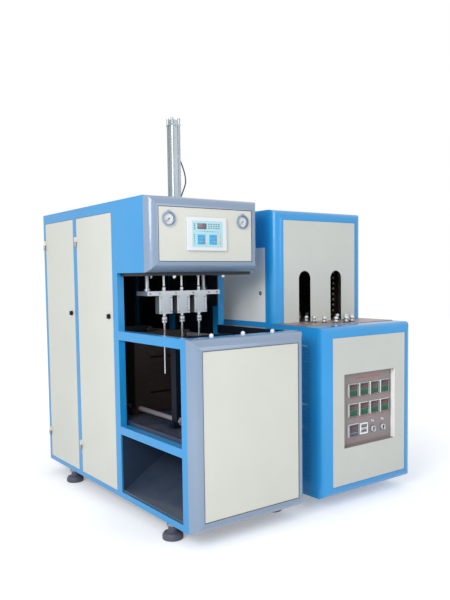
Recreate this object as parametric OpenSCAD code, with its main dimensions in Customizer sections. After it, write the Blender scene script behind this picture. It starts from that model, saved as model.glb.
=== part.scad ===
// Two-cabinet stretch-blow moulding machine for plastic bottles: the blow unit on
// the left, with its clamp, nozzles and stretch cylinder, and the preform heater
// on the right, with its spindle chain, lamps and control window.
// Millimetres, +Z up, +X to the right along the fronts, +Y to the back.

/* [Blow unit] */
// Width of the blow unit
blow_w = 740; // [720:1:770]
// Depth of its sides, behind the rounded bezel
blow_d = 1785; // [1750:1:1850]
// Height of its frame above the feet
blow_h = 1700; // [1680:1:1740]
// Height of the lower front cabinet
lower_h = 965; // [955:1:980]
// Height of the head's underside
head_z = 1293; // [1285:1:1310]
// Depth at which the head's blue cover begins
head_y = 390; // [380:1:400]
// Depth at which the rear cabinet begins
cabinet_y = 700; // [695:1:715]
// Radius of the rounded grey bezels
bezel_r = 57; // [50:1:62]
// Wall of the bezels
bezel_wall = 8; // [6:0.5:9]
// Thickness of the beige sheet panels
panel_t = 2.5; // [2:0.1:3]
// Depth and width of the groove that shows round a front panel
panel_groove = 2; // [1:0.5:3]
// Width of the lip that a front panel lies on
lip_w = 12; // [8:1:16]
// Wall of the blue sheet covers
sheet_t = 3; // [2:0.5:4]

/* [Frame] */
// Depth of the frame's tubes, square to the side faces
tube_d = 40; // [36:1:44]
// Width of the rear cabinet's front posts
post_w = 60; // [56:1:64]
// Width of its middle posts
mid_post_w = 46; // [42:1:50]
// Width of its rear posts
rear_post_w = 30; // [28:1:36]
// Height of its top rails
top_rail_h = 60; // [54:1:66]
// Height of its bottom rails
bottom_rail_h = 28; // [25:1:34]
// Depth of the door at the rear of the side
rear_door_w = 464; // [455:1:475]
// Width of the front cabinet's posts and top rails
front_post_w = 50; // [46:1:54]
// Height of the top of the rails that carry the clamp
base_z = 418; // [410:1:425]
// Height of those rails
mid_rail_h = 45; // [40:1:50]

/* [Doors] */
// Thickness of the folded doors
door_t = 20; // [18:1:24]
// Gap around a door
door_gap = 2; // [1.5:0.1:3]
// Radius of a hinge barrel
hinge_r = 7; // [6:0.5:9]
// Radius of a hinge pin
hinge_pin_r = 3; // [2.5:0.1:4]
// Length of one half of a hinge barrel
hinge_half = 30; // [25:1:36]
// Height of the lower hinges
hinge_low_z = 205; // [190:1:230]
// Distance of the upper hinges below the frame's top
hinge_drop = 205; // [180:1:240]
// Height of the latches
latch_z = 1045; // [1000:1:1100]
// Distance of a latch from its door's free edge
latch_in = 46; // [42:1:52]
// Radius of a latch's stem
latch_r = 5; // [4:0.5:6]

/* [Clamp] */
// Depth of the line of the three cavities
line_y = 609; // [600:1:610]
// Half of the opening between the platens
half_open = 205; // [200:1:210]
// Width of the platens
platen_w = 415; // [405:1:425]
// Height of the platens
platen_h = 488; // [478:1:492]
// Thickness of the platens
platen_t = 50; // [44:1:54]
// Depth of the moving platen's side ribs
platen_rib_d = 96; // [90:1:100]
// Radius of the tie rods
tie_r = 14; // [12:0.5:16]
// Distance of a tie rod from the platen's edges
tie_in = 30; // [27:1:34]
// Length of the tie rods
tie_len = 1070; // [1065:1:1080]
// Thickness of the clamp's base plate
base_t = 25; // [20:1:30]
// Height of the flat ways on the base plate
way_h = 7; // [6:0.5:9]
// Travel of each platen
clamp_stroke = 87.96; // [80:0.01:90]
// Outer radius of the clamp cylinder
clamp_cyl_r = 100; // [92:1:106]
// Bore radius of the clamp cylinder
clamp_bore_r = 90; // [82:1:91]
// Radius of its piston rod
clamp_rod_r = 32; // [28:1:36]
// Length of the clamp cylinder with its two heads
clamp_cyl_len = 300; // [290:1:308]
// Module of the rack and pinion that keep the platens centred
gear_module = 4; // [3.9:0.05:4.1]
// Teeth of that pinion
gear_teeth = 20; // [18:2:22]

/* [Nozzles and stretch rods] */
// Distance between the cavities
pitch_x = 120; // [115:1:124]
// Radius of the stretch rods
rod_r = 7; // [6:0.5:8]
// Height of the stretch rods' tips, lowered as in use
rod_tip_z = 705; // [690:1:720]
// Travel of the stretch rods
stretch_stroke = 290; // [280:1:295]
// Travel of the nozzle beam
nozzle_stroke = 42; // [38:1:44]
// Length of the nozzle beam
beam_w = 500; // [490:1:510]
// Height of the nozzle beam's underside
beam_z = 1163; // [1158:1:1170]
// Thickness of the nozzle beam
beam_t = 25; // [20:1:28]
// Width of a nozzle block
block_w = 90; // [84:1:94]
// Height of a nozzle block
block_h = 105; // [95:1:110]
// Depth of a nozzle block
block_d = 54; // [50:1:58]
// Radius of a nozzle
nozzle_r = 17; // [15:0.5:19]
// Distance of the seal cylinders from the middle
seal_x = 196; // [192:1:200]
// Radius of the seal cylinders' rods
seal_rod_r = 12; // [10:0.5:14]
// Outer size of the square stretch cylinder
stretch_size = 60; // [56:1:64]
// Bore radius of the stretch cylinder
stretch_bore_r = 22; // [20:0.5:23]
// Radius of its piston rod
stretch_rod_r = 10; // [8:0.5:12]
// Height of the stretch cylinder above the head
stretch_h = 490; // [480:1:510]

/* [Panel of the head] */
// Distance of a gauge from the middle
gauge_x = 246; // [240:1:250]
// Distance of the gauges below the head's top
gauge_drop = 124; // [118:1:130]
// Outer radius of a gauge's rim
gauge_r = 40; // [37:1:42]
// Width of the controller's frame
control_w = 256; // [246:1:266]
// Height of the controller's frame
control_h = 180; // [174:1:186]
// Distance of the controller's middle from the panel's middle, to the left
control_x = 5; // [0:1:10]
// Distance of the controller's middle below the head's top
control_drop = 200; // [194:1:205]
// Distance between the white nuts on the lower cabinet
knob_pitch = 200; // [180:1:220]

/* [Feet] */
// Height of the feet
foot_h = 85; // [75:1:95]
// Radius of a foot's rubber disc
foot_r = 55; // [50:1:60]
// Radius of a foot's neck
foot_neck_r = 24; // [22:1:26]
// Depth of the blow unit's front feet
foot_front_y = 200; // [180:1:220]
// Depth of its rear feet
foot_rear_y = 1435; // [1400:1:1460]
// Distance of the heater's feet from its edges
heater_foot_in = 250; // [240:1:260]

/* [Heater] */
// Gap between the two cabinets
heater_gap = 155; // [140:1:170]
// Width of the heater
heater_w = 772; // [765:1:780]
// Depth of the heater
heater_d = 1408; // [1405:1:1500]
// Setback of the heater's front from the blow unit's
heater_back = 22; // [15:1:30]
// How much lower the heater's sheet reaches than the blow unit's frame
heater_drop = 15; // [10:1:20]
// Width of the blue rim beside the heater's front panels
rim_side = 70; // [67:1:73]
// Height of the blue rim above and below them
rim_end = 60; // [58:1:63]
// Height of its lower part
heater_low_h = 970; // [960:1:980]
// Height of its tall part
heater_h = 1668; // [1650:1:1690]
// Depth of the lower part in front of the tall part
heater_step = 415; // [405:1:425]
// Radius of its rounded edges
corner_r = 58; // [52:1:62]
// Width of the two arched slots
slot_w = 100; // [94:1:106]
// Height of the top of the slots
slot_top_z = 1295; // [1280:1:1310]
// Width of the control window
window_w = 444; // [436:1:450]
// Height of the control window
window_h = 432; // [426:1:440]
// Height of the window's middle
window_z = 477; // [470:1:484]
// Depth of the window's recess
window_deep = 34; // [30:1:38]
// Width of a panel meter
meter_w = 79; // [72:1:82]
// Height of a panel meter
meter_h = 77; // [72:1:82]
// How far the instruments stand out from their plate
meter_out = 14; // [12:1:16]
// Distance between the meters' middles
meter_pitch = 92; // [88:1:94]
// Distance between the two rows of meters
meter_row = 118; // [114:1:122]
// Distance between two louvres
louvre_pitch = 20; // [19:0.5:24]

/* [Spindle chain] */
// Radius of the chain's bends
track_r = 138; // [134:1:139]
// Teeth of a sprocket
sprocket_teeth = 12; // [12]
// Links along each straight run
run_links = 12; // [12:1:13]
// Depth of the front sprocket behind the heater's front
track_front = 335; // [325:1:345]
// Depth of the track plate's front edge
plate_y = 150; // [120:1:165]
// Width of the slot that the spindles run in
track_slot = 26; // [24:1:30]
// Radius of a spindle's body
spindle_r = 11; // [10:0.5:12]
// Height of a spindle above the track plate
spindle_h = 40; // [36:1:52]
// Radius of the chain's rollers
roller_r = 8; // [7:0.5:9]
// Thickness of the track plate
track_t = 4; // [3:0.5:5]
// Lamps in each bank
lamp_count = 8; // [6:1:8]
// Distance between two lamps
lamp_pitch = 36; // [34:1:38]

/* [Hidden] */
$fn = 48;

// Clearances: a loose gap beside a sheet, a running gap on another body, a bearing fit
gap = 0.3;
fit = 0.08;
// How far a cut reaches past a face
eps = 1;

blue = [0.16, 0.56, 0.86];
heater_blue = [0.10, 0.46, 0.80];
bezel_grey = [0.60, 0.65, 0.76];
beige = [0.85, 0.85, 0.80];
steel = [0.72, 0.73, 0.75];
bright = [0.85, 0.86, 0.88];
dark_iron = [0.20, 0.21, 0.24];
rust_brown = [0.24, 0.17, 0.13];
black = [0.06, 0.06, 0.07];
white = [0.93, 0.94, 0.95];

// Places that several pieces share
cx = blow_w / 2;
total_w = blow_w + heater_gap + heater_w;
hinge_high_z = blow_h - hinge_drop;
gauge_z = blow_h - gauge_drop;
control_z = blow_h - control_drop;
panel_y = head_y - bezel_r + panel_groove;
foot_in = 30;
foot_over = foot_r - foot_in;
inlet_out = 25;
rear_door_y = blow_d - rear_post_w - rear_door_w;
mid_post_y = rear_door_y - mid_post_w;
front_door_y = cabinet_y + post_w;
door_bottom = bottom_rail_h;
door_top = blow_h - top_rail_h;
base_top = base_z + base_t;
way_top = base_top + way_h;
platen_z = way_top + gap;
platen_top = platen_z + platen_h;
clamp_z = platen_z + platen_h / 2;
tie_x = platen_w / 2 - tie_in;
tie_z = platen_h / 2 - tie_in;
front_platen_y = line_y - half_open - platen_t;
moving_y = line_y + half_open;
tie_y0 = front_platen_y - 22;
tail_y = tie_y0 + tie_len - platen_t - 38;
clamp_cyl_y = tail_y - clamp_cyl_len;
cap_t = 32;
piston_t = 28;
gear_r = gear_module * gear_teeth / 2;
gear_y = clamp_cyl_y + clamp_cyl_len / 2;
gear_z = way_top + 8;
gear_t = 20;
turned_in = 22;
way_x = 130;
way_w = 60;
rack_reach = 130;

// The stretch unit stands behind the line of the cavities
stretch_y = line_y + 55;
seal_y = line_y + 60;
drop_d = 240;
seal_h = 120;
seal_piston_up = 62;
head_plate_t = 20;
head_plate_z = head_z + sheet_t - head_plate_t;
head_plate_top = head_plate_z + head_plate_t;
cross_z = head_plate_top + 14;
cross_t = 26;
top_plate_z = blow_h - sheet_t - 22;
block_z = beam_z - block_h;
nozzle_h = 38;
nozzle_neck = 16;
gland_h = 24;
gland_r = 11;

// The heater's own corner: its left side face, its front plane
hx = blow_w + heater_gap;
hy = heater_back - bezel_r;
hcx = heater_w / 2;
track_z = heater_low_h;
step_a = 360 / sprocket_teeth;
sprocket_post_r = 14;
link_pitch = 2 * track_r * sin(180 / sprocket_teeth);
run_len = run_links * link_pitch;
chain_z = track_z - 34;
bed_z = track_z - 78;
bed_t = 8;
lamp_x = track_r + 66;
lamp_y0 = heater_step + 70;
lamp_len = 620;
lamp_z0 = track_z + 62;
meter_x = 17;
meter_low_z = window_z - 8;
low_row_z = window_z - 129;
switch_z = low_row_z - 13;
louvre_len = 295;
louvre_back = 460;
side_sheet_y = heater_step + corner_r + 34;
side_sheet_z = heater_low_h + 10;
side_sheet_end = 60;
side_sheet_top = heater_h - 227;
valve_z = 1080;
valve_plate_h = 190;

// The hose's route, with its heights above the head's top: straight down from the
// elbow behind the cylinder's cap, out to the right and back into the union
hose_r = 4;
union_h = 16;
hose_points = [[370, 714, 458], [371, 714, 438], [374.5, 713.5, 417], [380, 712.5, 396],
    [386.5, 711.5, 376], [394, 710, 356], [403, 708.5, 335], [412.5, 707, 314], [421.5, 705, 294],
    [430.5, 703, 274], [439.5, 701, 253], [448, 699, 232], [454.5, 697, 212], [460, 695, 192],
    [464, 693, 171], [466, 691.5, 150], [464.5, 690, 130], [459, 688.5, 111], [450.5, 687.5, 92],
    [441.5, 686.5, 73], [433, 685.5, 54], [426.5, 685, 35], [424, 685, 16]];
hose_route = [for (p = hose_points) p + [0, 0, blow_h]];
hose_start = hose_route[0];
hose_end = hose_route[len(hose_route) - 1];

// Puts the blow unit's front left corner where the origin is midway under the whole
module place() {
    translate([-(total_w - foot_over) / 2, -(blow_d + inlet_out - bezel_r) / 2, foot_h])
        children();
}

module place_heater() {
    place() translate([hx, hy, 0])
        children();
}

// A cylinder along Y, or along X, from its first face
module rod_y(r, len) {
    rotate([-90, 0, 0]) cylinder(r = r, h = len);
}

module rod_x(r, len) {
    rotate([0, 90, 0]) cylinder(r = r, h = len);
}

// The plan of a front with rounded vertical edges, its front plane at Y = 0
module rounded_plan(w, d, r) {
    intersection() {
        square([w, d]);
        union() {
            translate([0, r]) square([w, d]);
            translate([r, 0]) square([w - 2 * r, r + eps]);
            for (x = [r, w - r])
                translate([x, r]) circle(r = r, $fn = 64);
        }
    }
}

// A block whose front edges are all rounded and mitred at its corners.
// With square_foot, its lower front edge is left square.
module rounded_block(w, d, h, r, square_foot = false) {
    low = square_foot ? r : 0;
    intersection() {
        linear_extrude(h) rounded_plan(w, d, r);
        translate([0, 0, -low]) mirror([1, 0, 0]) rotate([0, -90, 0])
            linear_extrude(w) rounded_plan(h + low, d, r);
    }
}

// A rounded shell: the block less its inside, open at the back
module rounded_shell(w, d, h, r, wall) {
    difference() {
        rounded_block(w, d, h, r);
        translate([wall, wall, wall])
            rounded_block(w - 2 * wall, d, h - 2 * wall, r - wall);
    }
}

// A grey bezel: the rounded rim with the seat and the lip of its panel
module bezel(w, h) {
    difference() {
        rounded_shell(w, bezel_r, h, bezel_r, bezel_wall);
        translate([bezel_r, -eps, bezel_r])
            cube([w - 2 * bezel_r, panel_groove + panel_t + gap + eps, h - 2 * bezel_r]);
        translate([bezel_r + lip_w, -eps, bezel_r + lip_w])
            cube([w - 2 * bezel_r - 2 * lip_w, bezel_wall + 2 * eps, h - 2 * bezel_r - 2 * lip_w]);
    }
}

// The beige sheet that fills a bezel, less the groove all round
module inset_panel(w, h) {
    edge = bezel_r + panel_groove;
    translate([edge, panel_groove, edge])
        cube([w - 2 * edge, panel_t, h - 2 * edge]);
}

// Puts a piece on both sides of the blow unit
module both_sides() {
    children();
    translate([blow_w, 0, 0]) mirror([1, 0, 0]) children();
}

// Welded tube frame of the rear cabinet, with the arms that carry the head
module rear_frame() {
    frame_top = blow_h - sheet_t;
    color(blue) place() {
        both_sides() {
            translate([0, cabinet_y, 0]) cube([tube_d, post_w, frame_top]);
            translate([0, mid_post_y, 0]) cube([tube_d, mid_post_w, frame_top]);
            translate([0, blow_d - rear_post_w, 0]) cube([tube_d, rear_post_w, frame_top]);
            translate([0, cabinet_y, door_top]) cube([tube_d, blow_d - cabinet_y, frame_top - door_top]);
            translate([0, cabinet_y, 0]) cube([tube_d, blow_d - cabinet_y, bottom_rail_h]);
            for (z = [head_z + sheet_t, top_plate_z - 40])
                translate([sheet_t, head_y + 8, z]) cube([tube_d, cabinet_y - head_y - 8 + eps, 40]);
        }
        for (y = [cabinet_y, mid_post_y, blow_d - rear_post_w])
            for (z = [0, frame_top - 40])
                translate([tube_d - eps, y, z])
                    cube([blow_w - 2 * tube_d + 2 * eps, rear_post_w, z == 0 ? bottom_rail_h : 40]);
        translate([tube_d - eps, cabinet_y + 2, head_z + sheet_t])
            cube([blow_w - 2 * tube_d + 2 * eps, 36, 40]);
        for (y = [mid_post_y, blow_d - rear_post_w])
            translate([tube_d - eps, y, base_z - mid_rail_h])
                cube([blow_w - 2 * tube_d + 2 * eps, rear_post_w, mid_rail_h]);
    }
}

// Welded tube frame of the lower front cabinet, open at its left side
module front_frame() {
    color(blue) place() {
        both_sides() {
            cube([front_post_w, front_post_w, lower_h]);
            for (z = [[0, 34], [base_z - mid_rail_h, mid_rail_h], [lower_h - front_post_w, front_post_w]])
                translate([0, front_post_w - eps, z[0]])
                    cube([front_post_w, cabinet_y - front_post_w + eps, z[1]]);
        }
        for (z = [0, lower_h - front_post_w])
            translate([front_post_w - eps, 0, z])
                cube([blow_w - 2 * front_post_w + 2 * eps, front_post_w, z == 0 ? 34 : front_post_w]);
        for (y = [0, line_y - drop_d / 2 - mid_rail_h - 6])
            translate([front_post_w - eps, y, base_z - mid_rail_h])
                cube([blow_w - 2 * front_post_w + 2 * eps, mid_rail_h, mid_rail_h]);
    }
}

// Folded blue cover over the head: two sides and a top, with turned-in lower edges
module head_shell() {
    depth = cabinet_y - head_y;
    color(blue) place() translate([0, head_y, 0]) difference() {
        translate([0, 0, head_z]) cube([blow_w, depth, blow_h - head_z]);
        translate([sheet_t, -eps, head_z + sheet_t])
            cube([blow_w - 2 * sheet_t, depth + 2 * eps, blow_h - head_z - 2 * sheet_t]);
        translate([turned_in, -eps, head_z - eps])
            cube([blow_w - 2 * turned_in, depth + 2 * eps, sheet_t + 2 * eps]);
        translate([cx, stretch_y - head_y, blow_h - sheet_t - eps])
            cylinder(r = stretch_bore_r, h = sheet_t + 2 * eps);
        translate([hose_end[0], hose_end[1] - head_y, blow_h - sheet_t - eps])
            cylinder(r = 9 + gap, h = sheet_t + 2 * eps);
    }
}

module head_bezel() {
    color(bezel_grey) place() translate([0, head_y - bezel_r, head_z])
        bezel(blow_w, blow_h - head_z);
}

// Beige sheet of the head, cut for the gauges and the controller
module head_panel() {
    color(beige) place() translate([0, head_y - bezel_r, head_z]) difference() {
        inset_panel(blow_w, blow_h - head_z);
        for (x = [-gauge_x, gauge_x])
            translate([cx + x, 0, gauge_z - head_z]) rod_y(gauge_r - 6 + gap, panel_groove + panel_t + eps);
        translate([cx - control_x - control_w / 2 + 15, 0, control_z - head_z - control_h / 2 + 15])
            cube([control_w - 30, panel_groove + panel_t + eps, control_h - 30]);
    }
}

// Places a piece at both gauges, its Y = 0 on the face of the head's panel
module at_gauges() {
    for (x = [-gauge_x, gauge_x])
        translate([cx + x, panel_y, gauge_z]) children();
}

// Round gauge cases with a rim, a top tab and a body behind the panel
module pressure_gauges() {
    rim = 9;
    color(bezel_grey) place() at_gauges() difference() {
        union() {
            translate([0, -rim, 0]) rod_y(gauge_r, rim);
            rod_y(gauge_r - 6, 34);
            translate([-6, -rim, gauge_r - 4]) cube([12, rim, 9]);
            translate([0, 34 - eps, -gauge_r + 18]) rod_y(7, 22);
        }
        translate([0, -rim - eps, 0]) rod_y(gauge_r - 5, 3 + eps);
        translate([0, -rim, 0]) rod_y(gauge_r - 8, rim);
        translate([0, -eps, 0]) rod_y(gauge_r - 9, 5 + eps);
    }
}

// White dials with a raised scale ring and a hub pin
module gauge_dials() {
    color(white) place() at_gauges() difference() {
        union() {
            translate([0, 2, 0]) rod_y(gauge_r - 9 - gap, 3);
            translate([0, -3, 0]) rod_y(1.5, 5 + eps);
        }
        for (a = [-45:27:225])
            rotate([0, -a, 0]) translate([gauge_r - 15, 2 - eps, -0.6]) cube([5, eps + 0.5, 1.2]);
    }
}

// Clear lenses held in the rims
module gauge_lenses() {
    color([0.8, 0.9, 0.95, 0.35]) place() at_gauges()
        translate([0, -8, 0]) rod_y(gauge_r - 5 - gap, 2);
}

// One pointer, at zero: its tip at the lower left, its tail opposite
module gauge_needle() {
    color(black) translate([0, -2.5, 0]) difference() {
        union() {
            rod_y(3.2, 1.6);
            rotate([0, -45, 0]) translate([-gauge_r + 17, 0, -0.8]) cube([gauge_r - 17 + 9, 1.4, 1.6]);
        }
        translate([0, -eps, 0]) rod_y(1.5 + fit, 1.6 + 2 * eps);
    }
}

module gauge_needle_left() {
    place() translate([cx - gauge_x, panel_y, gauge_z]) gauge_needle();
}

module gauge_needle_right() {
    place() translate([cx + gauge_x, panel_y, gauge_z]) gauge_needle();
}

// White moulded frame of the controller with its box behind the panel
module controller_housing() {
    rim = 26;
    front = 12;
    color(white) place() translate([cx - control_x - control_w / 2, panel_y, control_z - control_h / 2])
        difference() {
            union() {
                translate([0, -front, 0]) cube([control_w, front, control_h]);
                translate([15 + gap, -eps, 15 + gap])
                    cube([control_w - 30 - 2 * gap, 62, control_h - 30 - 2 * gap]);
            }
            translate([rim, -front - eps, rim - 8])
                cube([control_w - 2 * rim, 4 + eps, control_h - 2 * rim + 14]);
            translate([rim, -front + 8, rim])
                cube([control_w - 2 * rim, 50, control_h - 2 * rim]);
        }
}

// Membrane keypad: a plate with a sunk display, a row of keys and two key fields
module controller_face() {
    rim = 26;
    w = control_w - 2 * rim - 2 * gap;
    h = control_h - 2 * rim + 14 - 2 * gap;
    color([0.66, 0.90, 0.96]) place()
        translate([cx - control_x - w / 2, panel_y - 12, control_z - control_h / 2 + rim - 8 + gap])
        difference() {
            union() {
                translate([0, 0.6, 0]) cube([w, 3.4, h]);
                for (i = [0:8])
                    translate([34 + i * 17, 0, h * 0.58]) cube([11, eps, 6]);
                for (x = [34, 112], i = [0:2], j = [0:2])
                    translate([x + i * 18, 0, 16 + j * 19]) cube([14, eps, 14]);
                for (x = [12, w - 22], j = [0:4])
                    translate([x, 0, 14 + j * 11]) cube([8, eps, 6]);
            }
            translate([34, -eps, h - 44]) cube([62, 3 + eps, 32]);
        }
}

module front_bezel() {
    color(bezel_grey) place() translate([0, -bezel_r, 0])
        bezel(blow_w, lower_h);
}

module front_panel() {
    color(beige) place() translate([0, -bezel_r, 0])
        inset_panel(blow_w, lower_h);
}

// White domed cap nuts along the lower cabinet's top edge
module top_knobs() {
    color(white) place()
        for (i = [-1:1])
            translate([cx + i * knob_pitch, front_post_w / 2, lower_h]) {
                cylinder(r = 11, h = 9);
                translate([0, 0, 9 - eps]) intersection() {
                    sphere(r = 11);
                    cylinder(r = 12, h = 12);
                }
            }
}

// Fixed beige pans on the right side: two on the rear cabinet, two below in front
module right_panels() {
    color(beige) place() translate([blow_w, 0, 0]) mirror([1, 0, 0]) {
        pan(front_door_y, mid_post_y, door_bottom, door_top);
        pan(rear_door_y, blow_d - rear_post_w, door_bottom, door_top);
        pan(front_post_w, cabinet_y, 34, base_z - mid_rail_h);
        pan(front_post_w, cabinet_y, base_z, lower_h - front_post_w);
    }
}

// A folded pan that fills an opening from y0 to y1 and z0 to z1, less a gap
module pan(y0, y1, z0, z1, edge = gap) {
    fold = 1.5;
    translate([0, y0 + edge, z0 + edge]) difference() {
        cube([door_t, y1 - y0 - 2 * edge, z1 - z0 - 2 * edge]);
        translate([fold, fold, fold])
            cube([door_t, y1 - y0 - 2 * edge - 2 * fold, z1 - z0 - 2 * edge - 2 * fold]);
    }
}

// Beige sheet over the back, with vent slots and the threaded air inlet at its foot
module rear_panel() {
    inlet_r = 12.1;
    color(beige) place() translate([tube_d / 2, blow_d, 8]) difference() {
        union() {
            cube([blow_w - tube_d, sheet_t, blow_h - 16]);
            translate([90, sheet_t - eps, 200]) rod_y(22, inlet_out - sheet_t + eps);
        }
        for (i = [0:9])
            translate([(blow_w - tube_d) / 2 - 110, -eps, blow_h - 330 + i * louvre_pitch])
                cube([220, sheet_t + 2 * eps, 7]);
        translate([90, sheet_t + 2, 200]) rod_y(inlet_r, inlet_out);
    }
}

// Sheet over the rear cabinet
module top_cover() {
    color(blue) place() translate([0, cabinet_y + gap, blow_h - sheet_t])
        cube([blow_w, blow_d - cabinet_y - gap, sheet_t]);
}

// A hinged door: a folded pan with two upper hinge halves and a hole for its latch
module side_door(y0, y1) {
    axis_y = y1 - door_gap / 2;
    color(beige) difference() {
        union() {
            pan(y0, y1 - door_gap, door_bottom, door_top, door_gap);
            for (z = [hinge_low_z, hinge_high_z])
                translate([-hinge_r, axis_y, z + gap]) {
                    cylinder(r = hinge_r, h = hinge_half);
                    translate([hinge_r - 3, -26, 0]) cube([3 + eps, 22, hinge_half]);
                    translate([0, -10, 0]) cube([hinge_r, 8, hinge_half]);
                }
        }
        for (z = [hinge_low_z, hinge_high_z])
            translate([-hinge_r, axis_y, z - eps])
                cylinder(r = hinge_pin_r + fit, h = hinge_half + 3 * eps);
        translate([-eps, y0 + latch_in, latch_z]) rod_x(latch_r + fit, door_t + 2 * eps);
    }
}

module side_door_front() {
    place() side_door(front_door_y, mid_post_y);
}

module side_door_rear() {
    place() side_door(rear_door_y, blow_d - rear_post_w);
}

// A quarter-turn latch: a knob with a wing, its stem, and a tongue behind the post
module door_latch(y0) {
    color(black) translate([0, y0 + latch_in, latch_z]) {
        translate([-6 - gap, 0, 0]) rod_x(15, 6);
        translate([-18, -5, -13]) cube([13, 10, 26]);
        translate([-6 - gap, 0, 0]) rod_x(latch_r, tube_d + 10 + gap);
        translate([tube_d + gap, -8, -8]) cube([4, 16, 60]);
    }
}

module door_latch_front() {
    place() door_latch(front_door_y);
}

module door_latch_rear() {
    place() door_latch(rear_door_y);
}

// Lower hinge halves with their pins, welded to the posts
module door_hinges() {
    color(steel) place()
        for (y = [mid_post_y, blow_d - rear_post_w], z = [hinge_low_z, hinge_high_z])
            translate([-hinge_r, y - door_gap / 2, z]) {
                translate([0, 0, -hinge_half]) cylinder(r = hinge_r, h = hinge_half);
                translate([0, 0, -eps]) cylinder(r = hinge_pin_r, h = hinge_half + eps - 2);
                translate([0, 2, -hinge_half]) cube([hinge_r, 24, hinge_half]);
            }
}

// Folded dark chute under the clamp: a sloping floor between two upright walls
module bottle_chute() {
    slope = 33;
    wall = 2;
    depth = cabinet_y - front_post_w - 12;
    top = base_z - mid_rail_h - gap;
    color(dark_iron) place() translate([0, front_post_w + 6, 0]) intersection() {
        translate([6, 0, 36]) cube([blow_w - 2 * front_post_w - 40, depth, top - 36]);
        union() {
            translate([8, 0, 40]) rotate([0, -slope, 0]) cube([blow_w, depth, wall]);
            for (y = [0, depth - wall])
                translate([6, y, 36]) cube([blow_w, wall, top - 36]);
            translate([6, 0, 36]) cube([wall, depth, 14]);
        }
    }
}

// Base plate of the clamp with two flat ways and the drop opening over the chute
module clamp_base() {
    y0 = front_post_w + 10;
    y1 = blow_d - rear_post_w - 60;
    color([0.30, 0.36, 0.46]) place() difference() {
        union() {
            translate([front_post_w + gap, y0, base_z])
                cube([blow_w - 2 * front_post_w - 2 * gap, y1 - y0, base_t]);
            for (x = [-way_x - way_w / 2, way_x - way_w / 2])
                translate([cx + x, y0 + 20, base_top - eps]) cube([way_w, y1 - y0 - 40, way_h + eps]);
            translate([cx, gear_y, base_top - eps]) cylinder(r = 22, h = gear_z - base_top - gap + eps);
            translate([cx, gear_y, base_top - eps]) cylinder(r = 12, h = gear_z + gear_t + 4 - base_top);
        }
        translate([cx - 95, line_y - drop_d / 2, base_z - eps]) cube([190, drop_d, base_t + 2 * eps]);
    }
}

// Places a piece at the four tie rods
module at_ties() {
    for (x = [-tie_x, tie_x], z = [-tie_z, tie_z])
        translate([cx + x, 0, clamp_z + z]) children();
}

// A platen's plate with chamfered upper corners and bores for the tie rods
module platen_plate(y, bore_r) {
    cham = 26;
    translate([cx, y, clamp_z]) rotate([-90, 0, 0]) linear_extrude(platen_t) difference() {
        polygon([[-platen_w / 2, platen_h / 2], [-platen_w / 2, cham - platen_h / 2],
            [cham - platen_w / 2, -platen_h / 2], [platen_w / 2 - cham, -platen_h / 2],
            [platen_w / 2, cham - platen_h / 2], [platen_w / 2, platen_h / 2]]);
        for (x = [-tie_x, tie_x], z = [-tie_z, tie_z])
            translate([x, z]) circle(r = bore_r);
    }
}

// Two T-slots across a platen's face, the face at y, cut towards side (1 to the back)
module tee_slots(y, side) {
    half = 104;
    for (z = [-127, 89])
        translate([cx, y, clamp_z + z]) {
            translate([-half, side > 0 ? -eps : -14, -6]) cube([2 * half, 14 + eps, 12]);
            translate([-half, side > 0 ? 13 : -23, -11]) cube([2 * half, 10, 22]);
        }
}

// Shoes at a platen's lower corners that slide on the base plate, each with a bolt
module platen_shoes(y) {
    shoe = 16;
    for (s = [-1, 1])
        translate([cx + s * (platen_w / 2 + shoe / 2), y, base_top + gap]) {
            translate([-shoe / 2 - eps, 4, 0]) cube([shoe + 2 * eps, platen_t - 8, 34]);
            translate([s > 0 ? shoe / 2 : -shoe / 2 - 5, platen_t / 2, 18]) rod_x(7, 5);
        }
}

// Front platen, fast on the tie rods
module front_platen() {
    color([0.13, 0.20, 0.34]) place() {
        difference() {
            platen_plate(front_platen_y, tie_r + fit);
            tee_slots(front_platen_y + platen_t, -1);
        }
        platen_shoes(front_platen_y);
    }
}

// Four tie rods with a nut at each end
module tie_rods() {
    nut_t = 20;
    color(bright) place() at_ties() {
        translate([0, tie_y0, 0]) rod_y(tie_r, tie_len);
        for (y = [tie_y0 + 2, front_platen_y + platen_t, tail_y - nut_t, tail_y + platen_t])
            translate([0, y, 0]) rotate([-90, 0, 0]) cylinder(r = tie_r + 10, h = nut_t, $fn = 6);
    }
}

// Tail plate with the forward rack that meshes with the pinion
module tail_plate() {
    color(dark_iron) place() {
        difference() {
            platen_plate(tail_y, tie_r + fit);
            translate([cx, tail_y - eps, clamp_z]) rod_y(26, platen_t + 2 * eps);
        }
        translate([cx, 0, 0]) rack_bar(gear_y - rack_reach, tail_y + eps, 1);
    }
}

// A straight rack from y0 to y1, on the right (side 1) or left (side -1) of the pinion
module rack_bar(y0, y1, side) {
    p = PI * gear_module;
    back = 0.2;
    half = p / 4 - back;
    tip = half - gear_module * tan(20);
    root = half + 1.2 * gear_module * tan(20);
    teeth = 10;
    first = side > 0 ? -teeth : -1;
    mirror([side > 0 ? 0 : 1, 0, 0]) translate([gear_r, 0, gear_z]) {
        translate([1.2 * gear_module, y0, 0]) cube([18, y1 - y0, gear_t]);
        for (i = [first:first + teeth])
            translate([0, gear_y + (i + 0.5) * p, 0]) linear_extrude(gear_t)
                polygon([[-gear_module, -tip], [-gear_module, tip],
                    [1.2 * gear_module, root], [1.2 * gear_module + 0.5, root],
                    [1.2 * gear_module + 0.5, -root], [1.2 * gear_module, -root]]);
    }
}

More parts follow.
